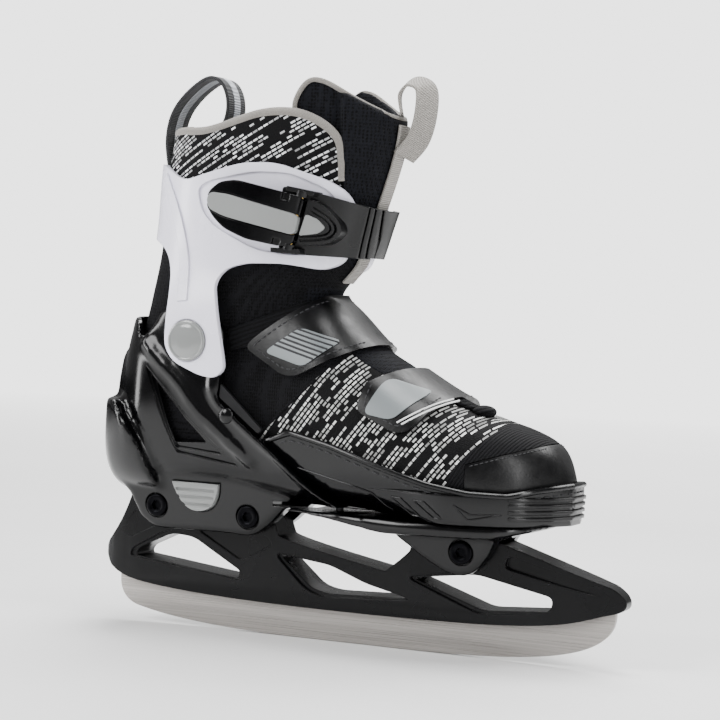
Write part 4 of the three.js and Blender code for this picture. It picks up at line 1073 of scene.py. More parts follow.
def rim_line(grow, lift=0.0, x_from=-60.0, steps=150):
    """The toe shell's upper edge, from the outer side round the toe to the inner side."""
    made = []
    for side in (-1, 1):
        part = []
        for i in range(steps + 1):
            s_from = (x_from - HEEL_X) / FOOT_LENGTH
            s = s_from + (1 - s_from) * math.sin(i / steps * math.pi / 2)
            x = HEEL_X + FOOT_LENGTH * s + grow * (2 * s - 1)
            z = rim_height(x) + lift
            half, middle = foot_side(x, z, grow)
            part.append(Vector((x, middle + side * half, z)))
        made = part if side < 0 else made + part[::-1][1:]
    return made


def toe_skirt():
    """Fills the toe shell out below its widest line, so that its lower walls stand upright."""
    levels = ((69.4, 3.6), (70.6, 2.0), (72.5, 1.2), (76, 0.6), (80, 0.2), (84, 0.2))
    rings = []
    for i in range(61):
        x = 12 + (TOE_X + TOE_OUT - 0.6 - 12) * math.sin(i / 60 * math.pi / 2)
        s = min((x - HEEL_X + TOE_OUT) / (FOOT_LENGTH + 2 * TOE_OUT), 1)
        widest = foot_width(s) * FOOT_WIDTH / 2 + TOE_OUT
        share = min((x - 12) / 52, 1)
        share = share * share * (3 - 2 * share)
        halves = []
        for z, slope in levels:
            form, middle = foot_side(x, max(z, foot_under(s) - TOE_OUT + 0.3), TOE_OUT)
            halves.append((z, max(form + (widest - slope - form) * share - 0.2, 1)))
        rings.append([(x, middle - h, z) for z, h in halves] + [(x, middle + h, z) for z,
                                                                h in reversed(halves)])
    return closed_rings(rings)


def build_toe_shell():
    outer = foot(TOE_OUT) + toe_skirt()
    proud = outer.moved(x=1.2) & block(91, 140, -FAR, FAR, 0, FAR)
    for z in (73.4, 76.6, 79.8, 83.0):
        outer = outer + (proud & block(91, 140, -FAR, FAR, z - 0.8, z + 0.8))
    wall = (outer - foot(TOE_IN)) & plate(TOE_RIM)
    floor = block(-FAR, FAR, -FAR, FAR, 0, SOLE_TOP + 0.3)
    tail = foot(TOE_OUT) & block(-106, -58, -11.5, 11.5, 78.1, 80.2)
    made = (wall + tail) - floor
    made = made - block(-14.3, -9.7, -2.3, 2.3, 60, 80)
    for i in range(4):
        x = BUTTON_X - i * 20 / 3
        made = made - block(x - 2.2, x + 2.2, 9, 14.5, 70, 90)
    # Raised outlines on both sides: a long panel, two slashes and a wedge
    tree = made.tree()
    beads = []
    for side in (-1, 1):
        for line in (
            [(-20, 91), (12, 84.5), (22, 82), (31, 73)],
            [(33, 81), (39, 80.6), (48, 72.4), (43.5, 72.4), (33, 81)],
            [(45.5, 80.4), (51.5, 80), (60.5, 72.2), (56, 72.2), (45.5, 80.4)],
            [(66, 79.5), (73, 72.4), (88, 75.6), (74, 75.2), (66, 79.5)],
        ):
            dense = evenly([(x, z, 0) for x, z in line], 1.2)
            beads.append(swept(draped(tree, [(p.x, p.y) for p in dense], side), circle(0.45, 8)))
    shown("toe_shell_beads", gathered(*beads), "shell", "toe", slot="gloss_black_plastic")
    shown("toe_shell_body", made, "shell", "toe", ["toe_shell"], "gloss_black_plastic", sharp=30)
    line = [p for i, p in enumerate(rim_line(TOE_OUT - 0.2, -0.6, -58)) if i % 2 == 0]
    shown("toe_welt", swept(line, circle(1.5, 10, 1.0)), "shell", "toe", slot="gloss_black_plastic")
    seam = rim_line(TOE_OUT + 0.15, -4.0, -30)
    shown("toe_welt_stitches", stitches(seam, 5.6, 3.6, 0.45), "thread", "toe", slot="black_leather")


def build_toe_hidden():
    under = 66.5
    screw = [(0, under - 2.4), (3.5, under - 2.4), (4.5, under - 1.4), (4.5, under), (2, under), (2, 73.5),
             (0, 73.5)]
    head = spun((-12, 0, 0), (0, 0, 1), screw, 32)
    for long_x, long_y in ((3.5, 0.5), (0.5, 3.5)):
        head = head - block(-12 - long_x, -12 + long_x, -long_y, long_y, 60, under - 1.4)
    shown("slide_screw_head", head, "zinc", "toe", ["slide_screw"], "zinc_steel")


# ---- Soft boot ------------------------------------------------------------------------------------

SLIDE_LINE = [(-62, 0), (-62, 97.5), (-24, 111.5), (38, 150), (38, 400)]
COLLAR_TOP = [
    (-160, 262), (-92, 259), (-72, 262), (-50, 269), (-30, 269.5), (-17, 264), (-8.5, 254), (-8.5, 150),
    (-160, 150),
]
ANKLE_BLEND = ((-81.8, 0, 176), (-81.8, 0, 206))
TOE_BLEND = ((-30, 0, 100), (22, 0, 100))


def front_of_slide():
    return plate(SLIDE_LINE + [(400, 400), (400, 0)])


KNIT_EDGE = [(-46, 60), (-46, 104), (-30, 119), (-8, 140), (8, 156), (60, 156), (60, 60)]
RIB_ROLL = [(-68, 157), (-22, 176), (-13, 176), (-30, 164), (-49, 151), (-68, 146)]


def build_boot():
    wall = shell(-PAD, 0.0)
    throat = block(-30, FAR, -26, 26, 110, FAR)
    rear = wall - front_of_slide()
    upper = rear & plate(COLLAR_TOP, radius=8)
    lower = (rear & plate([(-160, 0), (60, 0), (60, 176), (-8, 189), (-8.5, 190), (-160, 190)])) - throat
    whole = upper + lower
    common = dict(slot="boot_mesh", body=("shell", "cuff"), blend=ANKLE_BLEND, inside="lining")
    high = plate([(-160, 214), (-40, 214), (20, 206), (20, 300), (-160, 300)])
    knit = plate(KNIT_EDGE)
    shown("boot_shaft_fabric", whole & high, "shaft", nodes=["ankle_shaft"], padded=0.7, **common)
    shown("boot_quarter_mesh", whole - high - knit, "mesh", nodes=["heel_upper"], padded=0.6, **common)
    shown("boot_quarter_knit", (whole - high) & knit, "knit", padded=0.6, **common)
    roll = (shell(-0.6, 1.5) & plate(RIB_ROLL, radius=4)) - plate(CUFF_REGION)
    roll = roll.changed(("REMESH", {"mode": "VOXEL", "voxel_size": 0.8}),
                        ("SMOOTH", {"factor": 0.6, "iterations": 6}))
    shown("boot_ribbed_roll", roll, "roll", ("shell", "cuff"), slot="boot_mesh", blend=ANKLE_BLEND,
          padded=0.6)
    tree = boot(0.0).tree()
    for side, word in ((-1, "outer"), (1, "inner")):
        seam = draped(tree, [(x, z) for x, z in smooth2([(-45, 105), (-30, 119), (-12, 136)])], side, 0.1)
        shown(f"quarter_seam_{word}", swept(seam, circle(0.75, 8)), "mesh", ("shell", "cuff"),
              slot="boot_mesh",
              blend=ANKLE_BLEND)
    # Grey binding along the collar, down to the cuff at its front
    shown("collar_binding", swept(collar_line(), circle(settings().binding_radius, 14)), "binding",
          ("shell", "cuff"),
          blend=ANKLE_BLEND, slot="grey_webbing", padded=0.8)


def collar_line():
    """Along the top of the collar, from the front of the outer side round the heel to the inner side."""
    keys = [(-9.2, 236), (-9.0, 246), (-10.5, 256), (-17, 263), (-27, 267.6), (-38, 268.8), (-50, 267.5),
            (-61, 264.3), (-72, 261), (-82, 259), (-92, 258.8)]
    front = [(x, -shin_side(x, z, -PAD / 2), z) for x, z in smooth2(keys, 6)]

    def mid_wall(_height):
        return -PAD / 2

    steps = 40
    rear = [shin_point(mid_wall, mid_wall, 259.2, (i / steps - 0.5) * 2.3 - math.pi) for i in range(1, steps)]
    rear = [p for p in rear if p[0] < front[-1][0] - 1]
    rear.sort(key=lambda p: math.atan2(p[1], -(p[0] + 50)))
    return front + rear + [(x, -y, z) for x, y, z in reversed(front)]


def build_forefoot():
    wall = shell(-PAD, 0.0)
    cap_cut = plate([(69.7, 60), (69.7, 99.3), (101.7, 109.8), (102.7, 140), (200, 140), (200, 60)])
    front = (wall & front_of_slide()) - cap_cut
    toe_line = [(60, 60), (62, 94), (70, 104), (79, 114), (74, 124), (66, 140), (200, 140), (200, 60)]
    toe_blend = dict(body=("shell", "toe"), blend=TOE_BLEND, slot="boot_knit", inside="lining")
    shown("forefoot_knit", front - plate(toe_line), "knit", nodes=["forefoot_upper"], padded=0.5, **toe_blend)
    shown("toe_ribbed_mesh", front & plate(toe_line), "ribs", padded=0.5, **toe_blend)
    cap_region = [(70, 60), (70, 99), (102, 109.5), (103, 140), (200, 140), (200, 60)]
    cap = shell(-PAD, 0.25) & plate(cap_region)
    shown("toe_cap_leather", cap, "leather", "toe", ["toe_cap"], "black_leather")
    tree = cap.tree()
    for side, name in ((-1, "outer"), (1, "inner")):
        line = draped(tree, [(71.5 + 31 * t, 98.2 + 10 * t) for t in (i / 30 for i in range(31))], side, 0.1)
        shown(f"toe_cap_stitches_{name}", stitches(line, 2.6, 1.8, 0.26), "thread", "toe",
              slot="black_leather")


def build_tongue():
    front = block(-8.2, FAR, -FAR, FAR, 0, FAR) & boot(0.0)
    inside = block(-33, FAR, -FAR, FAR, 196, FAR) & boot(-PAD - 0.4)
    top = plate([(-40, 100), (-34, 276), (-26, 287), (-18, 286), (14, 268.5), (60, 245), (60, 100)], radius=4)
    made = ((front + inside) - boot(-9.0)) & top & plate([(-40, 180), (60, 139), (60, 400), (-160, 400)])
    low = (shell(-PAD, 0.0) & block(-29, 29, -26, 26, 110, 214)) - front_of_slide()
    made = (made + low).changed(
        ("REMESH", {"mode": "VOXEL", "voxel_size": 1.5}),
        ("SMOOTH", {"factor": 0.5, "iterations": 9}),
    )
    shown("tongue_fabric", made, "tongue", ("shell", "cuff"), ["tongue_upper", "tongue_lower"], "boot_mesh",
          blend=ANKLE_BLEND, padded=0.6)
    # Binding over the tongue's top edge, from one side round the front to the other
    edge = smooth2([(-30.5, 264), (-32.5, 274), (-26.5, 284.5), (-18, 285.2), (-4, 277.5), (6, 272)], 6)
    side = [(x, -shin_side(x, z, -PAD - 0.4), z) for x, z in edge]
    front = []
    for i in range(1, 24):
        angle = -1.0 + 2.0 * i / 24
        x, y, _z = shin_point(lambda h: -2.0, lambda h: -2.0, 270, angle)
        front.append((x, y, 269.2 + max(0, 12 - x) * 0.45))
    front = [p for p in front if p[0] > 7.2]
    whole = side + front + [(x, -y, z) for x, y, z in reversed(side)]
    shown("tongue_binding", swept(whole, circle(1.3, 10)), "binding", ("shell", "cuff"), slot="grey_webbing",
          blend=ANKLE_BLEND)
    # Webbing sewn down the front of the tongue
    heights = [266 - 3 * i for i in range(28)]
    line = [(shaft_front(z) + 0.9, 0, z) for z in heights]
    shown("tongue_webbing", swept(line, [(v, u) for u, v in ribbon_section(13, 1.3)], up=(0, 1, 0)),
          "webbing",
          ("shell", "cuff"), slot="grey_webbing", blend=ANKLE_BLEND)


def build_insoles():
    for name, x0, x1, z_to, body in (("heel", -120, -64, 91, "shell"), ("toe", -61, 98, 90, "toe")):
        steps = 30

        def edge(i, side):
            x = x0 + (x1 - x0) * i / steps
            s = (x - HEEL_X) / FOOT_LENGTH
            return x, foot_middle(s) + side * (foot_width(s) * FOOT_WIDTH / 2 - PAD - 2.5)

        plan = [edge(i, -1) for i in range(steps + 1)] + [edge(i, 1) for i in range(steps, -1, -1)]
        made = slab(plan, 60, z_to) & foot(-PAD - 0.6)
        made = made - foot(-PAD - 0.6).moved(z=3.5)
        shown(f"insole_{name}_pad", made, "foam", body, [f"insole_{name}"], "insole_foam")


# ---- Cuff -----------------------------------------------------------------------------------------

CUFF_REGION = [
    (-140, 214), (-140, 242), (-112, 243.5), (-92, 233.5), (-73, 238.5), (-56, 243), (-38, 243.5),
    (-12, 235.5),
    (-4, 230), (-1.5, 221), (-4, 206), (-9, 194), (-16, 190.5), (-33, 193), (-53, 192.5), (-64, 189),
    (-69, 182), (-66, 168), (-62, 146), (-61, 138), (-66, 133.5), (-74, 134.5), (-90, 141), (-95.5, 149),
    (-95, 174), (-97, 188), (-103, 199), (-122, 206),
]


def cuff_form(grow):
    both = (lambda z: cuff_offset(z) + grow)
    return shin(both, both, 126, 262, 90, 160)


def over_cuff(low, high):
    return cuff_form(CUFF_WALL + high) - cuff_form(CUFF_WALL + low)


def build_cuff():
    made = (cuff_form(CUFF_WALL) - cuff_form(0)) & plate(CUFF_REGION, radius=6)
    # Sunk field round the buckle
    field = [(-82, 230), (-76, 233.5), (-50, 238.6), (-30, 238.4), (-12, 231), (-6, 222), (-12, 199),
             (-30, 197.2),
             (-48, 199.5), (-72, 211), (-80, 220)]
    sunk = over_cuff(-1.1, 6)
    near = block(-FAR, FAR, -FAR, -5, 0, FAR)
    made = made - (sunk & plate(field, radius=6) & near)
    # Raised rib from the rear edge down the arm
    rib_line = smooth2([(-108, 236), (-99, 222), (-92, 206), (-88, 190), (-86, 172)])
    rib = over_cuff(-0.5, 1.0) & plate(strip(rib_line, 6))
    made = made + (rib & block(-FAR, FAR, -FAR, FAR, 150, 242))
    made = made - rod(PIVOT_X, PIVOT_Z, PIVOT_BORE, -FAR, FAR)
    for side in (-1, 1):
        made = made - rod(PIVOT_X, PIVOT_Z, 18, *sorted((0.1 * side, CUFF_SEAT * side)))
        made = made - rod(PIVOT_X, PIVOT_Z, 22, *sorted((CAP_SEAT * side, FAR * side)))
    made = made - rod(-48, 213, 6.6, 0, FAR)
    shown("cuff_body", made, "white", "cuff", ["cuff"], "white_plastic", sharp=30)


def build_pivots():
    for place, side in (("outer", -1), ("inner", 1)):
        face = CAP_SEAT + 0.3
        start = CUP_SEAT - 2.6
        cap = turned(PIVOT_X, PIVOT_Z, side, [
            (0, start), (4, start), (4, face), (10.5, face), (10.5, face + 0.9), (10.2, face + 1.5),
            (9.5, face + 1.8),
            (9.0, face + 1.5), (8.6, face + 1.5), (7.5, face + 1.9), (4, face + 2.15), (0, face + 2.2),
        ], 64)
        shown(f"pivot_cap_{place}_disc", cap, "cap", "cuff", [f"pivot_cap_{place}"], "grey_plastic", sharp=40)
        low, high = CUP_SEAT + 0.3, CUFF_SEAT - 0.3
        washer = rod(PIVOT_X, PIVOT_Z, 17, *sorted((low * side, high * side)))
        washer = washer - rod(PIVOT_X, PIVOT_Z, PIVOT_BORE, -FAR, FAR)
        shown(f"slip_washer_{place}_ring", washer, "zinc", "cuff", [f"slip_washer_{place}"], "zinc_steel")


# ---- Buckle ---------------------------------------------------------------------------------------

LEVER_LIFT, LEVER_THICKNESS = 5.7, 5.0
PIN_LIFT = LEVER_LIFT + LEVER_THICKNESS / 2
PIN_TOP = Vector((-20, -shin_side(-20, 229.5, CUFF_HIGH + CUFF_WALL + PIN_LIFT), 229.5))
PIN_LOW = Vector((-27.5, -shin_side(-27.5, 199.5, CUFF_HIGH + CUFF_WALL + PIN_LIFT), 199.5))


def near_side():
    return block(-FAR, FAR, -FAR, -8, 0, FAR)


def pin_rod(diameter):
    along = (PIN_TOP - PIN_LOW).normalized()
    return swept([PIN_LOW - along * 0.4, PIN_TOP + along * 0.4], circle(diameter / 2, 24), up=(0, 1, 0))


def build_buckle():
    near = plate([(-32, 231.5), (-12, 228), (20, 219), (20, 197), (-18, 197.5), (-34, 198)], radius=2)
    front = plate([(-24, 229), (30, 218), (30, 196), (-24, 199.5)])
    far = plate([(-60, 224), (-24, 224.5), (20, 219), (20, 197), (-24, 201.5), (-60, 202)], radius=4)
    wall = over_cuff(1, 4)
    ears = plate([(-27, 231.3), (-14, 229), (-14.6, 226.8), (-27.6, 229.1)])
    ears = ears + plate([(-35, 200.6), (-21.5, 200.2), (-21.5, 197.8), (-35, 198.2)])
    band = (wall & near & near_side()) + (wall & front & block(-20, FAR, -20, 20, 0, FAR))
    band = band + (wall & far & block(-37.7, FAR, 8, FAR, 0, FAR))
    band = band + (over_cuff(1, PIN_LIFT + 2.4) & ears & near_side())
    # A raised nose carries on the lever's inlay, inside a double U groove
    boss = [(-17.2, 225.8), (-10, 222.5), (-3.5, 214), (-3.2, 209), (-9, 203.2), (-23.2, 202.2)]
    band = band + (over_cuff(3, 9.6) & plate(boss, radius=3) & near_side())
    for points, width in (([(-15, 221.6), (-8, 216.4), (-5.6, 211), (-9.5, 206.2), (-21.5, 204.6)], 1.0),
                          ([(-16, 219.4), (-9.5, 215), (-7.8, 211), (-11, 207.8), (-21.5, 206.6)], 0.8)):
        band = band - (over_cuff(8.4, 40) & plate(strip(smooth2(points), width)) & near_side())
    # Ridges across the band where it flexes
    for n in range(settings().band_ridges):
        x = 3.4 + 1.8 * n
        slant = [(x - 6.5, 190), (x - 5.8, 190), (x + 3.7, 228), (x + 3.0, 228)]
        band = band - (over_cuff(3.2, 8) & plate(slant, -FAR, -4))
    band = band - pin_rod(3.6)
    shown("buckle_band_strap", band, "satin", ("cuff", "band"), ["buckle_band"], "satin_black_plastic",
          blend=((-46, 45, 213), (-30, 45, 213)))
    anchor = over_cuff(1, 4) & far & block(-FAR, -38.3, 8, FAR, 0, FAR)
    face = shin_side(-48, 213, CUFF_HIGH + CUFF_WALL + 4) - 0.4
    anchor = anchor - rod(-48, 213, 6.6, 0, FAR) - rod(-48, 213, 13, face, FAR)
    shown("band_anchor_plate", anchor, "satin", ("cuff", "band"), ["band_anchor"], "satin_black_plastic",
          blend=((-46, 45, 213), (-30, 45, 213)))
    y = shin_side(-48, 213, CUFF_HIGH) + 0.5
    out = face + 0.3
    rivet = turned(-48, 213, 1, [(0, y), (3, y), (3, out), (5.5, out), (5.3, out + 0.8), (4.2, out + 1.5),
                                 (2, out + 1.8),
                                 (0, out + 1.8)])
    shown("band_rivet_head", rivet, "brass", "cuff", ["band_rivet"], "brass", sharp=50)
    shown("buckle_pin_rod", pin_rod(3.0), "brass", "band", ["buckle_pin"], "brass")
    nose_area = [(-18.2, 217.8), (-13, 215.6), (-9.6, 211.4), (-13, 208.4), (-21.6, 206.9)]
    nose = over_cuff(8, 10.4) & plate(nose_area, radius=1.5) & near_side()
    shown("buckle_band_nose", nose, "grey", "band", slot="grey_plastic")
    for n, (end, way) in enumerate(((PIN_TOP, 1), (PIN_LOW, -1))):
        along = (PIN_TOP - PIN_LOW).normalized() * way
        knuckle = swept([end - along * 3.4, end - along * 0.2], circle(2.9, 24), up=(0, 1, 0))
        shown(f"buckle_knuckle_{n}", knuckle - pin_rod(3.2), "satin", "band", slot="satin_black_plastic")
    lever_area = plate([(-63, 232.6), (-54, 233.8), (-24, 227.2), (-18.7, 225.8), (-24.7, 202), (-31, 201.4),
                        (-48, 204.3), (-60, 209.3), (-66.5, 215), (-70.5, 221), (-69.5, 227.5)], radius=3)
    body = over_cuff(LEVER_LIFT, LEVER_LIFT + LEVER_THICKNESS) & lever_area & near_side()
    inlay_area = [(-70, 224), (-67.5, 227.4), (-58, 226.4), (-21, 217), (-23.2, 207), (-60, 215.4),
                  (-68.5, 219)]
    body = body - (over_cuff(LEVER_LIFT + 1.3, 40) & plate(grown(inlay_area, 0.8), radius=3))
    # Finger slot behind the pin on both wings
    for points in ([(-30, 224.6), (-26, 223.7), (-25.2, 228.5), (-29, 229.5)],
                   [(-34, 205.6), (-30, 204.7), (-31.2, 200.5), (-35, 201.5)]):
        body = body - (over_cuff(LEVER_LIFT + 3.2, 40) & plate(points, radius=1))
    body = body - pin_rod(3.6)
    shown("buckle_lever_hood", body, "shell", "lever", ["buckle_lever"], "gloss_black_plastic", sharp=30)
    release = over_cuff(LEVER_LIFT + 2.6, LEVER_LIFT + LEVER_THICKNESS + 0.8)
    release = release & plate(inlay_area, radius=3) & near_side()
    shown("buckle_release_inlay", release, "grey", "lever_release", ["buckle_release"], "grey_plastic")
    rack = over_cuff(0.3, 1.8) & near_side()
    rack = rack & plate([(-66, 226.5), (-40, 220.5), (-42, 210.5), (-67, 217.5)], radius=2)
    teeth = over_cuff(0.3, 3.2) & near_side()
    for i in range(5):
        x, z = -61 + i * 4, 223.5 - i
        rack = rack + (teeth & plate([(x, z), (x + 2, z), (x + 1.4, z - 7.6), (x - 0.6, z - 7.6)]))
    shown("buckle_rack_plate", rack, "satin", "cuff", ["buckle_rack"], "satin_black_plastic")


# ---- Straps and loops -----------------------------------------------------------------------------

STRAPS = {
    "instep": ([(-53, 150), (-47, 156), (-16, 179.5), (-8, 176), (14, 158), (6, 152), (-22, 137), (-30, 137)],
               "shell", ((-10, -4, 165), (-10, -16, 165)),
               [(-41.4, 148.1), (-23.2, 161.5), (-1.6, 155.6), (-18.4, 141.7)]),
    "toe": ([(13, 122), (16, 140), (22, 150), (54, 134), (46, 119), (40, 113), (34, 112.5)],
            "toe", ((30, -4, 138), (30, -16, 138)),
            [(17.1, 120.8), (32.7, 118.4), (45, 132.5), (24.5, 139)]),
}


def build_straps():
    wall = shell(STRAP_LIFT, STRAP_LIFT + STRAP_THICKNESS)
    for name, (area, body, bend, patch) in STRAPS.items():
        made = wall & plate(area, radius=4)
        made = (made - front_of_slide()) if name == "instep" else (made & front_of_slide())
        shown(f"{name}_strap_leather", made, "leather", (body, f"{name}_strap"),
              [f"{name}_strap", f"{name}_strap_root"], "black_leather", blend=bend, sharp=40)
        # Edge stitches, a few millimetres inside the outline
        inner = inset(rounded(area, 6), 3.0)
        tree = made.tree()
        for side, word in ((-1, "outer"), (1, "inner")):
            dense = evenly([(x, z, 0) for x, z in inner + inner[:1]], 1.2)
            line = []
            for p in dense:
                hit = draped(tree, [(p.x, p.y)], side, 0.06)
                if hit and side * hit[0].y > 12:
                    line.append(hit[0])
            runs, run = [], []
            for p in line:
                if run and (p - run[-1]).length > 6:
                    runs.append(run)
                    run = []
                run.append(p)
            runs.append(run)
            threads = gathered(*[stitches(r, 3.3, 2.2, 0.4) for r in runs if len(r) > 4])
            shown(f"{name}_strap_stitches_{word}", threads, "thread", (body, f"{name}_strap"),
                  slot="black_leather",
                  blend=bend)
        shape = (boot(3.2 + 0.45) - boot(3.0)) & plate(patch, radius=4) & near_side()
        face = boot(3.2 + 0.45).tree()
        bars = []
        for k in range(6 if name == "instep" else 0):
            t = 0.3 + 0.125 * k
            a, b = (Vector(patch[m]).lerp(Vector(patch[n]), t) for m, n in ((0, 1), (3, 2)))
            path = [tuple(a.lerp(b, q / 12)) for q in range(13)]
            bars.append(swept(draped(face, path), circle(0.6, 8, 0.4), up=(0, -1, 0)))
        if bars:
            shown("instep_patch_lines", gathered(*bars), "thread", (body, "instep_strap"),
                  slot="black_leather",
                  blend=bend)
        shown(f"{name}_strap_patch", shape, "rubber", (body, f"{name}_strap"), slot="grey_webbing",
              blend=bend)
        if name == "toe":
            tree = boot(3.2).tree()
            for n, shift in enumerate((0.0, 2.4)):
                line = draped(tree, [(35.2 + shift + 22 * t, 117.4 - shift * 0.3 + 15 * t) for t in
                                     (i / 14 for i in range(15))], -1, 0.1)
                shown(f"toe_strap_line_{n}", swept(line, circle(0.45, 8)), "patch", (body, "toe_strap"),
                      slot="grey_webbing", blend=bend)


def ribbon_section(width, thickness):
    w, t = width / 2, thickness / 2
    return [(-w, -t * 0.4), (-w + 0.3, -t), (w - 0.3, -t), (w, -t * 0.4), (w, t * 0.4), (w - 0.3, t),
            (-w + 0.3, t),
            (-w, t * 0.4)]


def build_loops():
    line = smooth_line([(x, 0, z) for x, z in [(14.5, 250), (22, 259), (25.5, 272), (25, 285), (17, 288.5),
                                               (11, 282),
                                              (12.5, 271.5)]], 10)
    shown("tongue_pull_loop", swept(line, [(v, u) for u, v in ribbon_section(16, 1.4)], up=(0.34, 0.9, -0.2)),
          "webbing", "cuff", ["tongue_loop"], "grey_webbing")
    line = smooth_line([(x, 0, z) for x, z in [(-114.6, 240), (-117, 256), (-114.5, 270), (-106.5, 281),
                                               (-95, 289),
                                              (-87, 287.5), (-82.5, 279), (-83, 268), (-90, 257),
                                              (-100, 250)]], 10)
    shown("heel_pull_loop", swept(line, [(v, u) for u, v in ribbon_section(20, 1.8)], up=(0, 1, 0)),
          "dark_webbing",
          "cuff", ["heel_loop"], "dark_webbing")
    shown("heel_loop_stripe", swept(line, [(v, u) for u, v in ribbon_section(7, 2.3)], up=(0, 1, 0)),
          "stripe",
          "cuff", slot="grey_webbing")
    # Elastic cords from under the toe strap, gathered at a knot
    tree = boot(0.0).tree()
    for n, y in enumerate((-9, -3, 3, 9)):
        cord = []
        for i in range(15):
            x = 30 + 34 * i / 14
            spread = y * (1 - 0.75 * (i / 14) ** 2)
            hit, normal, _i, _d = tree.ray_cast(Vector((x, spread, 260)), Vector((0, 0, -1)))
            cord.append(hit + normal * 1.0)
        shown(f"throat_cord_{n}", swept(cord, circle(1.5, 10)), "roll", "toe", slot="black_leather")
    hit, normal, _i, _d = tree.ray_cast(Vector((64, 0, 260)), Vector((0, 0, -1)))
    bm = bmesh.new()
    bmesh.ops.create_uvsphere(bm, u_segments=24, v_segments=14, radius=1)
    for v in bm.verts:
        v.co = Vector((v.co.x * 6, v.co.y * 8.5, v.co.z * 3.4)) + hit + normal * 1.2
    shown("throat_knot", Solid(bm), "roll", "toe", slot="black_leather")


# ---- Studio ---------------------------------------------------------------------------------------

AZIMUTH, ELEVATION, ROLL = math.radians(23), math.radians(1.5), math.radians(2.6)
AIM = Vector((-4.6, 0, 145.7)) * MM
DISTANCE = 1.1
LENS = 107.0
BACKDROP = 3.0


def build_stage():
    a, e = AZIMUTH, ELEVATION
    back = Vector((math.sin(a) * math.cos(e), -math.cos(a) * math.cos(e), math.sin(e)))
    right = Vector((math.cos(a), math.sin(a), 0))
    up = back.cross(right)
    r = right * math.cos(ROLL) + up * math.sin(ROLL)
    u = up * math.cos(ROLL) - right * math.sin(ROLL)
    data = bpy.data.cameras.new("Camera")
    data.lens, data.sensor_width, data.clip_end = LENS, 36, 50
    camera = bpy.data.objects.new("Camera", data)
    bpy.context.scene.collection.objects.link(camera)
    turn = Matrix((r, u, back)).transposed()
    camera.matrix_world = Matrix.Translation(AIM + back * DISTANCE) @ turn.to_4x4()
    bpy.context.scene.camera = camera

    look = Look("Studio floor")
    # The floor melts into the bright backdrop between 0.7 m and 2.6 m from the skate
    distance = look.add("ShaderNodeVectorMath", (look.place,), out=1, operation="LENGTH")
    far = look.add("ShaderNodeMapRange", (distance, 0.7, 2.6))
    near = look.add("ShaderNodeMath", (1.0, far), operation="SUBTRACT")
    clouds = look.add("ShaderNodeTexNoise", {"Vector": look.place, "Scale": 1 / (400 * MM), "Detail": 2.0})
    grain = look.add("ShaderNodeMix", {0: look.add("ShaderNodeMapRange", (clouds, 0.3, 0.7)),
                                       6: hexed("#f6f6f6"), 7: hexed("#eeeeee")}, out=2, data_type="RGBA")
    faded = look.add("ShaderNodeMix", {0: far, 6: grain, 7: hexed("#000000")}, out=2, data_type="RGBA")
    seen = look.add("ShaderNodeMath", (look.add("ShaderNodeLightPath"), BACKDROP), operation="MULTIPLY")
    glow = look.add("ShaderNodeMath", (far, seen), operation="MULTIPLY")
    look.set(Base_Color=faded, Roughness=0.5, Specular_IOR_Level=near, Emission_Color=hexed("#ffffff"),
             Emission_Strength=glow)
    bm = bmesh.new()
    bmesh.ops.create_grid(bm, x_segments=2, y_segments=2, size=40)
    mesh = bpy.data.meshes.new("studio_floor")
    bm.to_mesh(mesh)
    bm.free()
    mesh.materials.append(look.material)
    floor = bpy.data.objects.new("studio_floor", mesh)
    floor.location = (0, 0, -0.0002)
    bpy.context.scene.collection.objects.link(floor)

    world = bpy.data.worlds.new("Studio")
    world.use_nodes = True
    background = world.node_tree.nodes["Background"]
    background.inputs["Color"].default_value = (1, 1, 1, 1)
    # The camera sees a bright backdrop; the skate is lit by a dimmer one, so that black stays black
    seen = wire(world.node_tree, "ShaderNodeLightPath").outputs["Is Camera Ray"]
    strength = wire(world.node_tree, "ShaderNodeMapRange", {"Value": seen, "To Min": 0.3, "To Max": BACKDROP})
    world.node_tree.links.new(strength.outputs[0], background.inputs["Strength"])
    bpy.context.scene.world = world
    for name, place, aim, size, power in (
        ("Key softbox", (-0.9, -1.3, 1.1), (0, 0, 0.14), (0.7, 0.9), 30),
        ("Overhead softbox", (0.1, 0.1, 1.5), (0, 0, 0.1), (1.2, 0.6), 34),
        ("Toe side strip", (1.4, -0.5, 0.6), (0, 0, 0.12), (0.3, 1.3), 16),
        ("Heel side strip", (-1.3, -0.5, 0.5), (-0.1, 0, 0.15), (0.25, 1.2), 14),
        ("Floor wash", (0.2, 1.6, 1.5), (0.2, 1.4, 0), (2.5, 1.0), 60),
    ):
        light = bpy.data.lights.new(name, "AREA")
        light.shape = "RECTANGLE"
        light.size, light.size_y = size
        light.energy = power
        lamp = bpy.data.objects.new(name, light)
        lamp.location = place
        lamp.rotation_euler = (Vector(aim) - Vector(place)).to_track_quat("-Z", "Y").to_euler()
        bpy.context.scene.collection.objects.link(lamp)


# ---- The add-on -----------------------------------------------------------------------------------


class SkateSettings(bpy.types.PropertyGroup):
    """Sizes and colours of the skate."""

    cuff_colour: FloatVectorProperty(
        name="Cuff", description="Colour of the ankle cuff's plastic", subtype="COLOR", size=3,
        default=hexed("#e9e7f4")[:3],
    )
    binding_radius: FloatProperty(
        name="Collar binding radius", description="Radius of the padded binding along the collar (mm)",
        default=2.9, min=1.0, max=5.0,
    )
    edge_round: FloatProperty(
        name="Edge rounding", description="Bevel along the edges of plain metal and plastic parts (mm)",
        default=0.35, min=0.1, max=1.0,
    )
    band_ridges: IntProperty(
        name="Band ridges", description="Number of grooves across the buckle band where it flexes",
        default=4, min=0, max=6,
    )


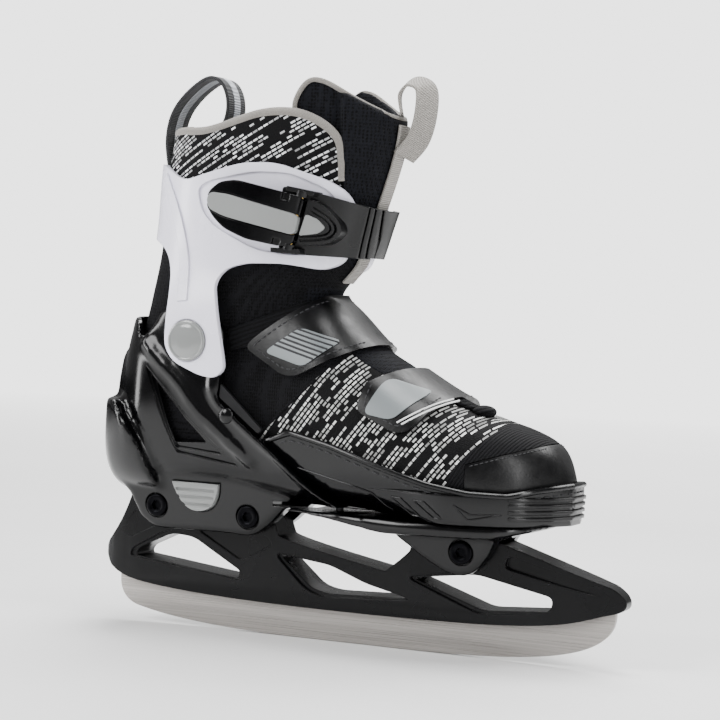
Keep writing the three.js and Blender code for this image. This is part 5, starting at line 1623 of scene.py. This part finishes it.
class SKATE_OT_blade(bpy.types.Operator):
    """Builds the steel blade"""

    bl_idname = "skate.blade"
    bl_label = "Blade"
    bl_options = {"REGISTER", "UNDO"}

    def execute(self, context):
        build_blade()
        return {"FINISHED"}


class SKATE_OT_holder(bpy.types.Operator):
    """Builds the moulded holder with its windows"""

    bl_idname = "skate.holder"
    bl_label = "Blade holder"
    bl_options = {"REGISTER", "UNDO"}

    def execute(self, context):
        build_holder()
        return {"FINISHED"}


class SKATE_OT_chassis(bpy.types.Operator):
    """Builds the hard shell with its heel cup, towers and sole"""

    bl_idname = "skate.chassis"
    bl_label = "Chassis"
    bl_options = {"REGISTER", "UNDO"}

    def execute(self, context):
        build_chassis()
        return {"FINISHED"}


class SKATE_OT_fixings(bpy.types.Operator):
    """Builds the mounting bolts, their sleeve nuts and the liner rivets"""

    bl_idname = "skate.fixings"
    bl_label = "Bolts and rivets"
    bl_options = {"REGISTER", "UNDO"}

    def execute(self, context):
        build_fixings()
        return {"FINISHED"}


class SKATE_OT_size_button(bpy.types.Operator):
    """Builds the size button with its latch and spring"""

    bl_idname = "skate.size_button"
    bl_label = "Size button"
    bl_options = {"REGISTER", "UNDO"}

    def execute(self, context):
        build_size_button()
        return {"FINISHED"}


class SKATE_OT_heel_insert(bpy.types.Operator):
    """Builds the grey panel in the rear window"""

    bl_idname = "skate.heel_insert"
    bl_label = "Heel insert"
    bl_options = {"REGISTER", "UNDO"}

    def execute(self, context):
        build_heel_insert()
        return {"FINISHED"}


class SKATE_OT_toe_shell(bpy.types.Operator):
    """Builds the sliding toe shell with its welt and outlines"""

    bl_idname = "skate.toe_shell"
    bl_label = "Toe shell"
    bl_options = {"REGISTER", "UNDO"}

    def execute(self, context):
        build_toe_shell()
        return {"FINISHED"}


class SKATE_OT_toe_hidden(bpy.types.Operator):
    """Builds the guide screw under the toe shell"""

    bl_idname = "skate.toe_hidden"
    bl_label = "Slide screw"
    bl_options = {"REGISTER", "UNDO"}

    def execute(self, context):
        build_toe_hidden()
        return {"FINISHED"}


class SKATE_OT_boot(bpy.types.Operator):
    """Builds the shaft and the quarters of the soft boot"""

    bl_idname = "skate.boot"
    bl_label = "Boot"
    bl_options = {"REGISTER", "UNDO"}

    def execute(self, context):
        build_boot()
        return {"FINISHED"}


class SKATE_OT_forefoot(bpy.types.Operator):
    """Builds the forefoot of the soft boot with its toe cap"""

    bl_idname = "skate.forefoot"
    bl_label = "Forefoot"
    bl_options = {"REGISTER", "UNDO"}

    def execute(self, context):
        build_forefoot()
        return {"FINISHED"}


class SKATE_OT_tongue(bpy.types.Operator):
    """Builds the tongue with its edge binding and webbing"""

    bl_idname = "skate.tongue"
    bl_label = "Tongue"
    bl_options = {"REGISTER", "UNDO"}

    def execute(self, context):
        build_tongue()
        return {"FINISHED"}


class SKATE_OT_insoles(bpy.types.Operator):
    """Builds the two halves of the insole"""

    bl_idname = "skate.insoles"
    bl_label = "Insoles"
    bl_options = {"REGISTER", "UNDO"}

    def execute(self, context):
        build_insoles()
        return {"FINISHED"}


class SKATE_OT_cuff(bpy.types.Operator):
    """Builds the hinged ankle cuff"""

    bl_idname = "skate.cuff"
    bl_label = "Cuff"
    bl_options = {"REGISTER", "UNDO"}

    def execute(self, context):
        build_cuff()
        return {"FINISHED"}


class SKATE_OT_pivots(bpy.types.Operator):
    """Builds the pivot caps and slip washers"""

    bl_idname = "skate.pivots"
    bl_label = "Pivots"
    bl_options = {"REGISTER", "UNDO"}

    def execute(self, context):
        build_pivots()
        return {"FINISHED"}


class SKATE_OT_buckle(bpy.types.Operator):
    """Builds the buckle band with its lever, pin and toothed plate"""

    bl_idname = "skate.buckle"
    bl_label = "Buckle"
    bl_options = {"REGISTER", "UNDO"}

    def execute(self, context):
        build_buckle()
        return {"FINISHED"}


class SKATE_OT_straps(bpy.types.Operator):
    """Builds the instep strap and the toe strap"""

    bl_idname = "skate.straps"
    bl_label = "Straps"
    bl_options = {"REGISTER", "UNDO"}

    def execute(self, context):
        build_straps()
        return {"FINISHED"}


class SKATE_OT_loops(bpy.types.Operator):
    """Builds the pull loops and the gathered cords"""

    bl_idname = "skate.loops"
    bl_label = "Pull loops"
    bl_options = {"REGISTER", "UNDO"}

    def execute(self, context):
        build_loops()
        return {"FINISHED"}


class SKATE_OT_stage(bpy.types.Operator):
    """Builds the floor, the camera, the backdrop and the lights"""

    bl_idname = "skate.stage"
    bl_label = "Studio"
    bl_options = {"REGISTER", "UNDO"}

    def execute(self, context):
        build_stage()
        return {"FINISHED"}


OPERATORS = (
    SKATE_OT_blade, SKATE_OT_holder, SKATE_OT_chassis, SKATE_OT_fixings, SKATE_OT_size_button,
    SKATE_OT_heel_insert, SKATE_OT_toe_shell, SKATE_OT_toe_hidden, SKATE_OT_boot, SKATE_OT_forefoot,
    SKATE_OT_tongue, SKATE_OT_insoles, SKATE_OT_cuff, SKATE_OT_pivots, SKATE_OT_buckle, SKATE_OT_straps,
    SKATE_OT_loops, SKATE_OT_stage,
)


class SKATE_PT_panel(bpy.types.Panel):
    """Sizes, colours and build steps of the skate."""

    bl_idname = "SKATE_PT_panel"
    bl_label = "Ice skate"
    bl_space_type = "VIEW_3D"
    bl_region_type = "UI"
    bl_category = "Skate"

    def draw(self, context):
        for key in SkateSettings.__annotations__:
            self.layout.prop(settings(), key)
        for kind in OPERATORS:
            self.layout.operator(kind.bl_idname)


def register():
    for kind in (SkateSettings, *OPERATORS, SKATE_PT_panel):
        bpy.utils.register_class(kind)
    bpy.types.Scene.skate = bpy.props.PointerProperty(type=SkateSettings)


def unregister():
    del bpy.types.Scene.skate
    for kind in (SKATE_PT_panel, *reversed(OPERATORS), SkateSettings):
        bpy.utils.unregister_class(kind)


def main():
    register()
    make_looks()
    for kind in OPERATORS:
        step = getattr(bpy.ops.skate, kind.bl_idname.split(".")[1])
        if step() != {"FINISHED"}:
            raise RuntimeError(f"{kind.bl_idname} did not finish")


if __name__ == "__main__":
    main()
